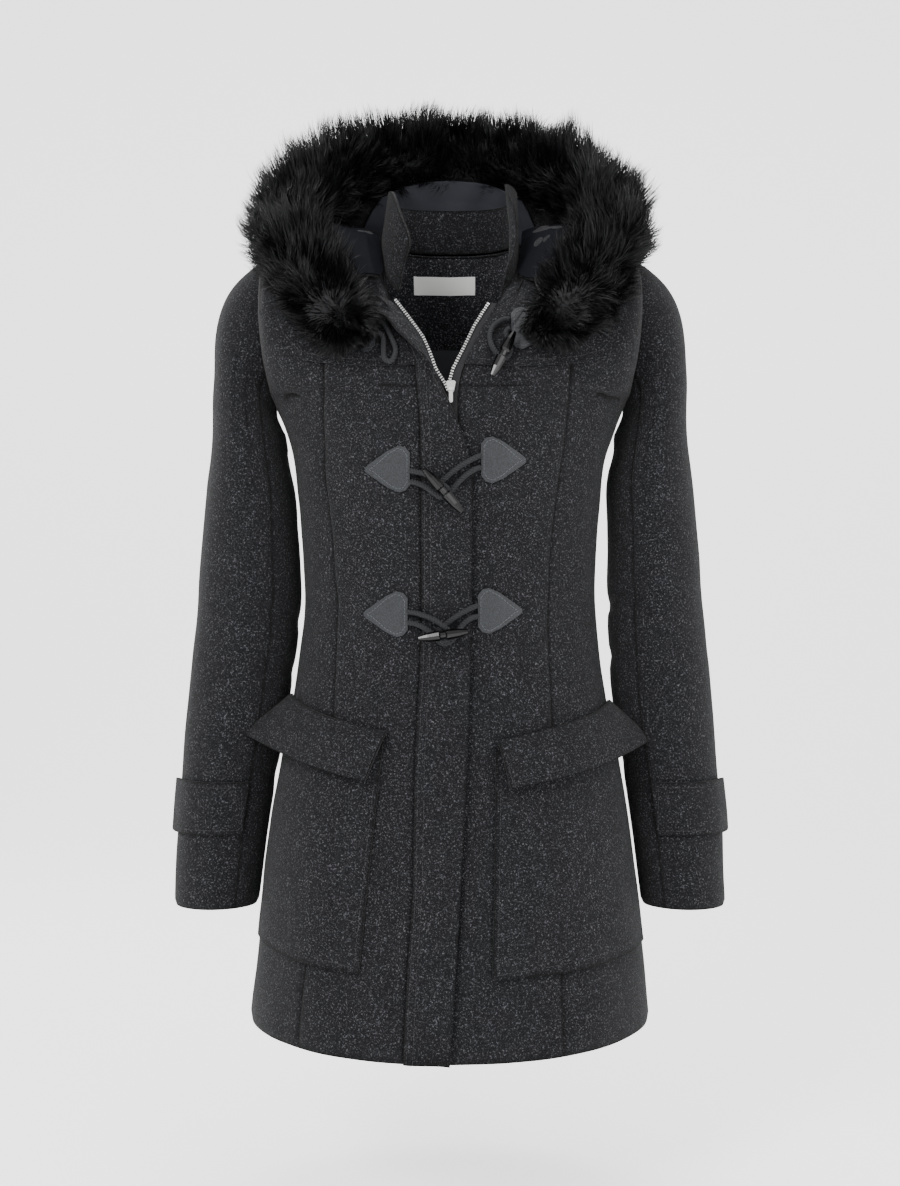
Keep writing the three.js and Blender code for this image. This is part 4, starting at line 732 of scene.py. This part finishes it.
def press_rims(piece, way_out, away):
    """Sinks the cloth a little along its edges, as beside a pressed seam."""
    points = points_of(piece.data)
    depth = PRESS_DEPTH * np.clip(1 - away / PRESS_REACH, 0, 1) ** 2
    set_points(piece.data, points - way_out(points) * depth[:, None])


def shade_rims(piece, away):
    """Marks the cloth beside its edges, where the material paints shade, darker towards the edge."""
    shade = piece.data.attributes.new(EDGE_SHADE, "FLOAT", "POINT")
    shade.data.foreach_set("value", np.clip(1 - away / SHADE_REACH, 0, 1))


def widen_rims(piece, way_out):
    """Moves the narrow faces along the edges outwards, so that neighbouring pieces meet in their seam."""
    mesh = piece.data
    pushes = np.zeros((len(mesh.vertices), 3))
    centres = np.array([polygon.center for polygon in mesh.polygons])
    normals = np.array([polygon.normal for polygon in mesh.polygons])
    on_edge = np.abs((normals * way_out(centres)).sum(axis=1)) < 0.45
    for index in np.nonzero(on_edge)[0]:
        for corner in mesh.polygons[index].vertices:
            pushes[corner] += normals[index]
    set_points(mesh, points_of(mesh) + unit(pushes) * SEAM_OVERLAP)


def sharpen_rims(piece):
    """Keeps shading crisp at the cut edges of a sheet."""
    work = bmesh.new()
    work.from_mesh(piece.data)
    for edge in work.edges:
        edge.smooth = not (len(edge.link_faces) == 2 and edge.calc_face_angle(0) > RIM_ANGLE)
    work.to_mesh(piece.data)
    work.free()


def tree_of(meshes, side=0):
    """One search tree over several meshes: all of them (0), or their outer (1) or inner (-1) faces."""
    points, faces = [], []
    for mesh in meshes:
        start = len(points)
        points += [v.co.copy() for v in mesh.vertices]
        for polygon in mesh.polygons:
            centre = polygon.center
            out = Vector((centre.x / BODY_ROUNDNESS, centre.y, 0)).normalized()
            facing = polygon.normal.dot(out)
            if side == 0 or facing * side > 0.3:
                faces.append([start + i for i in polygon.vertices])
    return BVHTree.FromPolygons(points, faces)


def settle(points, plain, smooth):
    """Moves points by as much as the smooth panels stand off the plain ones, and folds them too."""
    moved = []
    for point in points:
        base = plain.find_nearest(Vector(point))[0]
        moved.append(Vector(point) + smooth.find_nearest(base)[0] - base)
    moved = np.array(moved)
    return moved + body_field(moved)


def add_fitted_piece(node, levels, material, slot, side=1):
    """A piece that lies on the panels' outer (1) or inner (-1) faces and folds with them."""
    piece = add_piece(node + "_cloth", solid_cage(node), material, slot)
    refine(piece, levels, simple=True)
    smooth_faces(piece.data)
    set_points(piece.data, settle(points_of(piece.data), PLAIN_TREES[side], SMOOTH_TREES[side]))
    sharpen_rims(piece)
    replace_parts(piece, node)
    return piece


for grid_row in GRID_PIECES:
    add_grid_piece(*grid_row)
PLAIN_TREES = {side: tree_of([NODES[name].data for name in PANELS], side) for side in (-1, 1)}
SMOOTH_TREES = {side: tree_of([EVEN_MESHES[name] for name in PANELS], side) for side in (-1, 1)}
for node, levels, material, slot, width, length, area in FITTED_PIECES:
    fitted = add_fitted_piece(node, levels, material, slot, -1 if node in INSIDE_PIECES else 1)
for node in PATCHES:
    add_fitted_piece(node, 2, LEATHER, "leather")


# The hood's lining, with small folds along the collar

LININGS = [
    ("hood_lining", SATIN, 0.26, 0.2, 0.031),
    ("hood_lining_right", SHADED_SATIN, 0.13, 0.09, 0.0036),
    ("hood_lining_left", SHADED_SATIN, 0.13, 0.09, 0.0036),
]


def lining_field(points):
    """Small ripples of the satin where it meets the collar, shallow enough to stay inside the hood."""
    x, y, z = (points / MM).T
    ripples = 1.1 * np.sin(x / 6.5 + 2.5 * wander(points, 20, 8)) * np.clip((z + 20) / 60, 0, 1)
    height = ripples + 1.2 * wander(points, 30, 9)
    out = np.column_stack([x / 2, y - 40, 20 * np.ones(len(x))])
    out /= np.linalg.norm(out, axis=1, keepdims=True)
    return -out * (np.clip(height, -1.4, 1.8) * MM)[:, None]


for node, material, width, length, area in LININGS:
    lining = add_piece(node + "_cloth", solid_cage(node), material, "satin")
    refine(lining, 3, simple=True)
    smooth_faces(lining.data)
    lining_points = points_of(lining.data)
    set_points(lining.data, lining_points + lining_field(lining_points))
    sharpen_rims(lining)
    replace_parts(lining, node)


# The sleeves' tops meet the body along the armhole seams, and the facing meets the collar

ARMHOLE_LOW = -200 * MM
COLLAR_REACH = 8 * MM
ARMHOLE_REACH = 9 * MM


def close_seam(piece, tree, reach):
    """Draws the points near the searched surface onto it, above the lower end of the armholes."""
    points = points_of(piece.data)
    for i, point in enumerate(points):
        if point[2] < ARMHOLE_LOW:
            continue
        near, _, _, away = tree.find_nearest(Vector(point))
        if away < reach:
            share = 1 - away / reach
            points[i] += (np.array(near) - point) * share * share * (3 - 2 * share)
    set_points(piece.data, points)


close_seam(
    bpy.data.objects["back_neck_facing_cloth"],
    tree_of([bpy.data.objects["collar_stand_cloth"].data]),
    COLLAR_REACH,
)
ARMHOLE_TREE = tree_of([bpy.data.objects[name + "_cloth"].data for name in PANELS])
for name in ("sleeve_right_upper", "sleeve_right_under", "sleeve_left_upper", "sleeve_left_under"):
    close_seam(bpy.data.objects[name + "_cloth"], ARMHOLE_TREE, ARMHOLE_REACH)


# Hard pieces keep their solids

for node, material in [
    ("toggle_1", HORN),
    ("toggle_2", HORN),
    ("toggle_3", HORN),
    ("zip_slider", NICKEL),
    ("zip_pull", NICKEL),
    ("zip_tape_right", TAPE),
    ("zip_tape_left", TAPE),
]:
    for material_slot in NODES[node].material_slots:
        material_slot.material = material


# Small sewn and metal parts: boxes set along lines on the front, in millimetres

TEETH_RIGHT = [(-1.6, -156), (-4.5, -149), (-12.6, -136), (-18, -121), (-24, -107), (-36, -89), (-52, -66)]
TEETH_LEFT = [(1.6, -156), (-1, -149), (2.6, -136), (12, -117), (22, -95), (36, -71)]
TOOTH_PITCH = 2.5
TOOTH_SIZE = (2.6, 1.3, 1.5)
TOOTH_LIFT = 0.4
STITCH_PITCH = 4.2
STITCH_SIZE = (0.5, 2.9, 0.5)
PATCH_STITCH_PITCH = 3.2
PATCH_STITCH_SIZE = (0.5, 2.2, 0.5)
PATCH_STITCH_LIFT = 0.05


def flat_line(points, spacing):
    """Points on a line through (x, z) pairs, an even distance apart, with its directions."""
    points = np.array(points, float)
    along = np.concatenate([[0], np.cumsum(np.linalg.norm(np.diff(points, axis=0), axis=1))])
    wanted = np.arange(spacing / 2, along[-1], spacing)
    places = np.column_stack([np.interp(wanted, along, points[:, k]) for k in range(2)])
    ahead = np.column_stack([np.interp(wanted + 0.5, along, points[:, k]) for k in range(2)])
    behind = np.column_stack([np.interp(wanted - 0.5, along, points[:, k]) for k in range(2)])
    runs = ahead - behind
    return places, runs / np.maximum(np.linalg.norm(runs, axis=1, keepdims=True), 1e-9)


def box_at(place, axes, size):
    """The corners of a box about a place. The size runs across, along and out."""
    corners = []
    for k in range(8):
        signs = (k & 1, k >> 1 & 1, k >> 2 & 1)
        corner = Vector(place)
        for axis, sign, length in zip(axes, signs, size):
            corner += axis * (sign - 0.5) * length * MM
        corners.append(corner)
    return corners


BOX_FACES = [(0, 2, 3, 1), (4, 5, 7, 6), (0, 1, 5, 4), (2, 6, 7, 3), (0, 4, 6, 2), (1, 3, 7, 5)]


def seen_from(tree, x, z, back):
    """The place and the way out of the surface that is seen from the front, or from behind."""
    y = 1.0 if back else -1.0
    place, normal, _, _ = tree.ray_cast(Vector((x * MM, y, z * MM)), Vector((0, -y, 0)))
    if place is None:
        return None
    if normal.y * y < 0:
        normal = -normal
    return place, normal


def boxes_along(lines, tree, pitch, size, lift, back):
    """Boxes set on the seen surface along lines, each turned with its line."""
    points, faces = [], []
    for line in lines:
        places, runs = flat_line(line, pitch)
        for (x, z), (run_x, run_z) in zip(places, runs):
            found = seen_from(tree, x, z, back)
            if found is None:
                continue
            place, out = found
            along = Vector((run_x, 0, run_z))
            along = (along - out * along.dot(out)).normalized()
            start = len(points)
            points += box_at(place + out * lift * MM, (along.cross(out), along, out), size)
            faces += [[start + i for i in face] for face in BOX_FACES]
    return points, faces


def shape_of(node):
    """The finer mesh made for a node, or else its solid."""
    made = bpy.data.objects.get(node + "_cloth")
    return made.data if made else NODES[node].data


def add_boxes(name, lines, node, look, pitch, size, lift=0, back=False):
    """Boxes along lines on one node's shape. look is the material and a slot name, which is not used."""
    tree = tree_of([shape_of(node)])
    points, faces = boxes_along(lines, tree, pitch, size, lift, back)
    piece = add_piece(name, mesh_from(name, points, faces), *look)
    for polygon in piece.data.polygons:
        polygon.use_smooth = False


for side, teeth in (("right", TEETH_RIGHT), ("left", TEETH_LEFT)):
    tape = "zip_tape_" + side
    add_boxes("zip_teeth_" + side, [teeth], tape, (NICKEL, "nickel"), TOOTH_PITCH, TOOTH_SIZE, TOOTH_LIFT)


# Top stitching beside the seams

# The left half of the yoke's lower edge: x and height
YOKE_EDGE = [(60, -133), (95, -131), (120, -128), (140, -122), (154, -106), (164, -78), (170, -44)]
# The leather patches: node, x of the straight edge, height of the middle, side
PATCH_PLACES = [
    ("patch_right_1", -67, -100, -1),
    ("patch_right_2", -35.5, -225, -1),
    ("patch_right_3", -38, -354, -1),
    ("patch_left_1", 55, -97, 1),
    ("patch_left_2", 27.5, -217, 1),
    ("patch_left_3", 25, -351, 1),
]
# A patch's half width by the share of its length
PATCH_HALVES = [(0, 14), (0.1, 19), (0.25, 20.5), (0.5, 16), (0.75, 9), (0.93, 4), (1, 1.5)]
PATCH_LENGTH = 40
PATCH_INSET = 2.6
STITCHED_LENGTH = PATCH_LENGTH - 2.6 * PATCH_INSET


def shifted(line, dx, dz=0):
    return [(x + dx, z + dz) for x, z in line]


def patch_outline(edge_x, z, side):
    """The closed line of stitches a little inside a patch's edge."""
    upper = []
    for along, half in PATCH_HALVES:
        x = edge_x + side * (PATCH_INSET + along * STITCHED_LENGTH)
        upper.append((x, max(half - PATCH_INSET, 0.6)))
    line = [(x, z + half) for x, half in upper] + [(x, z - half) for x, half in reversed(upper)]
    return line + line[:1]


# Name, node and lines of (x, height)
WOOL_STITCHES = [
    ("stitch_placket", "front_placket", [shifted(PLACKET_SEAM, 3), shifted(PLACKET_SEAM, 8.5)]),
    ("stitch_yoke_right", "yoke_right", [[(-52, -127)] + [(-x + 4, z + 5) for x, z in YOKE_EDGE]]),
    ("stitch_yoke_left", "yoke_left", [[(24, -127)] + shifted(YOKE_EDGE, -4, 5)]),
    ("stitch_pocket_right", "pocket_right", [[(-68, -506), (-85, -666), (-167, -650)]]),
    ("stitch_pocket_left", "pocket_left", [[(45, -512), (42, -671), (168, -655)]]),
    ("stitch_flap_right", "pocket_flap_right", [[(-62, -464), (-75.5, -497.5), (-165, -470)]]),
    ("stitch_flap_left", "pocket_flap_left", [[(47.5, -471), (55.5, -503), (165, -475)]]),
    ("stitch_tab_right", "cuff_tab_right", [[(-262, -517), (-195, -517), (-195, -557), (-262, -557)]]),
    ("stitch_tab_left", "cuff_tab_left", [[(262, -517), (195, -517), (195, -557), (262, -557)]]),
]
YOKE_BACK_STITCHES = [[(-160, -112), (160, -112)]]
WOOL_LOOK = (THREAD, "wool")
PATCH_LOOK = (GREY_THREAD, "leather")

for stitch_name, node, lines in WOOL_STITCHES:
    add_boxes(stitch_name, lines, node, WOOL_LOOK, STITCH_PITCH, STITCH_SIZE)
add_boxes(
    "stitch_yoke_back",
    YOKE_BACK_STITCHES,
    "yoke_back",
    WOOL_LOOK,
    STITCH_PITCH,
    STITCH_SIZE,
    back=True,
)
for node, edge_x, z, side in PATCH_PLACES:
    add_boxes(
        "stitch_" + node,
        [patch_outline(edge_x, z, side)],
        node,
        PATCH_LOOK,
        PATCH_STITCH_PITCH,
        PATCH_STITCH_SIZE,
        PATCH_STITCH_LIFT,
    )


# Fur: tapered strands in tufts on a core. The line is that of the solid: x, y, z and radius in millimetres.

FUR_LINE = [
    (-85, -131, -95, 33),
    (-108.6, -117, -66.1, 38),
    (-140.7, -74.5, -17.8, 38),
    (-152, -18, 25, 38.5),
    (-138, 30, 62, 42),
    (-94, 74, 99, 41),
    (-50, 94, 116, 37.5),
    (0, 100, 121, 37),
    (50, 94, 116, 37.5),
    (94, 74, 99, 41),
    (138, 30, 62, 42),
    (152, -18, 25, 38.5),
    (140.7, -74.5, -17.8, 38),
    (108.6, -117, -66.1, 38),
    (85, -131, -95, 33),
]
# The core's radius and how far it hangs below the line, as shares of the radius
CORE_SHARE = 0.66
CORE_DROP = 0.34
CORE_SIDES = 16
STRANDS = 30000
STRAND_WIDTH = 0.8
END_STRANDS = 0.06
FUR_PARTS = [("hood_fur_right", 0.0, 0.5), ("hood_fur_left", 0.5, 1.0)]
FUR_SEED = 40
TUFTS_ALONG = 34
TUFTS_ROUND = 1.6
# Strands in front of this place are laid back, to this share of their reach
FUR_FRONT = -158
FRONT_GIVE = 0.4
BLOCKING = PANELS + ["yoke_right", "yoke_left", "yoke_back", "collar_stand"]
BLOCKING += ["sleeve_right_upper", "sleeve_left_upper"]


def fur_core():
    """The line and the radii along it, rounded off at both ends."""
    line, _ = smooth_line([row[:3] for row in FUR_LINE], 10)
    share = np.linspace(0, 1, len(line))
    radii = np.interp(share, np.linspace(0, 1, len(FUR_LINE)), [row[3] for row in FUR_LINE])
    near_end = np.clip(np.minimum(share, 1 - share) / 0.04, 0, 1)
    rounded = np.sqrt(np.clip(1 - (1 - near_end) ** 2, 0.25, 1))
    return line, radii * rounded


def frames_along(line):
    """Directions at each place of the line: along it, to its side and upwards."""
    tangents = np.gradient(line, axis=0)
    tangents /= np.linalg.norm(tangents, axis=1, keepdims=True)
    side = np.cross(tangents, np.array([0.0, 0.0, 1.0]))
    side /= np.linalg.norm(side, axis=1, keepdims=True)
    return tangents, side, np.cross(side, tangents)


def strand_layout(rng, count, line, radii, low, high):
    """Where strands stand between two shares of the line, and which way out they point."""
    share = rng.uniform(low, high, count)
    at_end = rng.uniform(0, 1, count) < END_STRANDS
    end_share = rng.uniform(0, 0.03, count)
    share = np.where(at_end, end_share if low < 0.25 else 1 - end_share, share)
    angle = rng.uniform(0, 2 * math.pi, count)
    place = share * (len(line) - 1)
    index = np.clip(place.astype(int), 0, len(line) - 2)
    part = (place - index)[:, None]
    tangents, side, up = frames_along(line)

    def between(values):
        return values[index] * (1 - part) + values[index + 1] * part

    middle, along = between(line), between(tangents)
    out = np.cos(angle)[:, None] * between(side) + np.sin(angle)[:, None] * between(up)
    radius = np.interp(place, np.arange(len(line)), radii)
    end = np.clip((np.abs(share - 0.5) - 0.46) / 0.04, 0, 1) * np.sign(share - 0.5)
    out = out + along * end[:, None] * 1.6
    out /= np.linalg.norm(out, axis=1, keepdims=True)
    return middle, out, radius, share, angle


def tuft_lean(share, angle, seed):
    """The lean that neighbouring strands share, so that they gather in tufts."""
    cells = np.column_stack(
        [share * TUFTS_ALONG, np.cos(angle) * TUFTS_ROUND, np.sin(angle) * TUFTS_ROUND]
    )
    fine = cells * 2.3
    lean = np.zeros((len(share), 3))
    for k in range(3):
        shift = Vector((seed + 11.0 * k, 4.0 * k, 9.0))
        lean[:, k] = [
            noise.noise(Vector(a) + shift) + 0.6 * noise.noise(Vector(b) + shift)
            for a, b in zip(cells, fine)
        ]
    return lean


def strand_mesh(name, roots, bends, tips, width, rng):
    """Ribbons of three bands that taper to a point."""
    count = len(roots)
    bands = np.array([0, 0.36, 0.72])
    across = np.cross(tips - roots, rng.normal(size=(count, 3)))
    across /= np.maximum(np.linalg.norm(across, axis=1, keepdims=True), 1e-9)
    rows = []
    for t, wide in zip(bands, (1.0, 0.85, 0.5)):
        centre = (1 - t) ** 2 * roots + 2 * t * (1 - t) * bends + t**2 * tips
        rows += [centre - across * width * wide / 2, centre + across * width * wide / 2]
    rows.append(tips)
    points = np.stack(rows, axis=1).reshape(-1, 3)
    base = np.arange(count)[:, None] * 7
    quads = np.concatenate([base + np.array([0, 1, 3, 2]), base + np.array([2, 3, 5, 4])])
    faces = quads.tolist() + (base + np.array([4, 5, 6])).tolist()
    mesh = bpy.data.meshes.new(name)
    mesh.from_pydata((points * MM).tolist(), [], faces)
    return mesh


def stop_at_cloth(roots, tips, tree):
    """Shortens the strands that would run into the coat."""
    for i in range(len(roots)):
        run = Vector(tips[i] - roots[i])
        hit = tree.ray_cast(Vector(roots[i]) * MM, run.normalized(), run.length * MM)
        if hit[0] is not None:
            tips[i] = roots[i] + np.array(run.normalized()) * max(hit[3] / MM - 1.0, 2.0)
    return tips


def downwards(lengths):
    return np.column_stack([np.zeros(len(lengths)), np.zeros(len(lengths)), -lengths])


def strand_tips(rng, middle, out, radius, share, angle):
    """Tips of the strands: they lean in tufts, hang a little and are combed down at the front ends."""
    lean = tuft_lean(share, angle, 3.0)
    tips = middle + out * (radius * rng.uniform(0.9, 1.18, len(radius)))[:, None]
    swoop = 0.55 * lean + 0.08 * rng.normal(size=out.shape)
    front_end = np.clip((np.abs(share - 0.5) - 0.4) / 0.1, 0, 1)
    swoop[:, 2] -= 0.2 * np.clip(1 - np.abs(out[:, 2]), 0, 1) + 0.55 * front_end
    tips += swoop * (radius * 0.7)[:, None]
    beyond = np.minimum(tips[:, 1] - FUR_FRONT, 0)
    tips[:, 1] -= beyond * (1 - FRONT_GIVE)
    return tips


def add_fur_core(line, radii):
    rings, _, _ = tube_rings(
        line + downwards(radii * CORE_DROP), radii * CORE_SHARE, CORE_SIDES, facing=(0, 0, 1)
    )
    core = mesh_from("fur_core", rings.reshape(-1, 3) * MM, ring_faces(len(line), CORE_SIDES))
    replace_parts(add_piece("hood_fur_core", core, FUR_GROUND, "fur"), "hood_fur")


def add_fur():
    line, radii = fur_core()
    add_fur_core(line, radii)
    tree = tree_of([NODES[name].data for name in BLOCKING])
    for number, (name, low, high) in enumerate(FUR_PARTS):
        rng = np.random.default_rng(FUR_SEED + number)
        middle, out, radius, share, angle = strand_layout(rng, STRANDS, line, radii, low, high)
        roots = middle + downwards(radius * CORE_DROP) + out * (radius * CORE_SHARE * 0.94)[:, None]
        tips = strand_tips(rng, middle, out, radius, share, angle)
        tips = stop_at_cloth(roots, tips, tree)
        reach = np.linalg.norm(tips - roots, axis=1)
        bends = roots + out * (reach * 0.6)[:, None]
        piece = add_piece(name, strand_mesh(name, roots, bends, tips, STRAND_WIDTH, rng), FUR, "fur")
        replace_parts(piece, "hood_fur")


add_fur()


# Floor, light and the end

STAGE_HALF = 5.0
STAGE_BACK = 3.4
STAGE_HEIGHT = 4.0
STAGE_BEND = 1.3
FLOOR_GAP = 0.16
# Lamps: name, place, aim, width in metres and power in watts
LAMPS = [
    ("key", (-1.3, -2.3, 1.3), (0, 0, -0.3), 1.2, 85),
    ("fill", (1.7, -2.0, 0.4), (0, 0, -0.35), 1.8, 40),
    ("top", (0.2, 0.3, 2.1), (0, 0, 0), 1.6, 40),
    ("rim", (-1.5, 1.2, 0.8), (0, 0, -0.2), 0.9, 20),
]
WORLD_STRENGTH = 1.5


def stage_profile():
    """The floor and the wall behind it, joined by a quarter round: (y, height)."""
    floor_z = CAD_BOX[0][2] - FLOOR_GAP
    bend_y = STAGE_BACK - STAGE_BEND
    profile = [(-STAGE_HALF, floor_z), (bend_y, floor_z)]
    for angle in np.linspace(0, math.pi / 2, 12)[1:]:
        rise = STAGE_BEND * (1 - math.cos(angle))
        profile.append((bend_y + STAGE_BEND * math.sin(angle), floor_z + rise))
    profile.append((STAGE_BACK, floor_z + STAGE_HEIGHT))
    return profile


def add_stage():
    profile = stage_profile()
    points = [(x, y, z) for y, z in profile for x in (-STAGE_HALF, STAGE_HALF)]
    faces = [(2 * i, 2 * i + 1, 2 * i + 3, 2 * i + 2) for i in range(len(profile) - 1)]
    mesh = mesh_from("stage", points, faces)
    stage = bpy.data.objects.new("stage", mesh)
    bpy.context.collection.objects.link(stage)
    mesh.materials.append(PALE)
    smooth_faces(mesh)


def add_light(name, place, target, size, power):
    data = bpy.data.lights.new(name, "AREA")
    data.shape = "DISK"
    data.size = size
    data.energy = power
    light = bpy.data.objects.new(name, data)
    light.location = place
    light.rotation_euler = (Vector(target) - Vector(place)).to_track_quat("-Z", "Y").to_euler()
    bpy.context.collection.objects.link(light)


def add_world():
    world = bpy.data.worlds.new("studio")
    world.use_nodes = True
    background = world.node_tree.nodes["Background"]
    background.inputs["Color"].default_value = (1, 1, 1, 1)
    background.inputs["Strength"].default_value = WORLD_STRENGTH
    bpy.context.scene.world = world


add_stage()
for lamp in LAMPS:
    add_light(*lamp)
add_world()
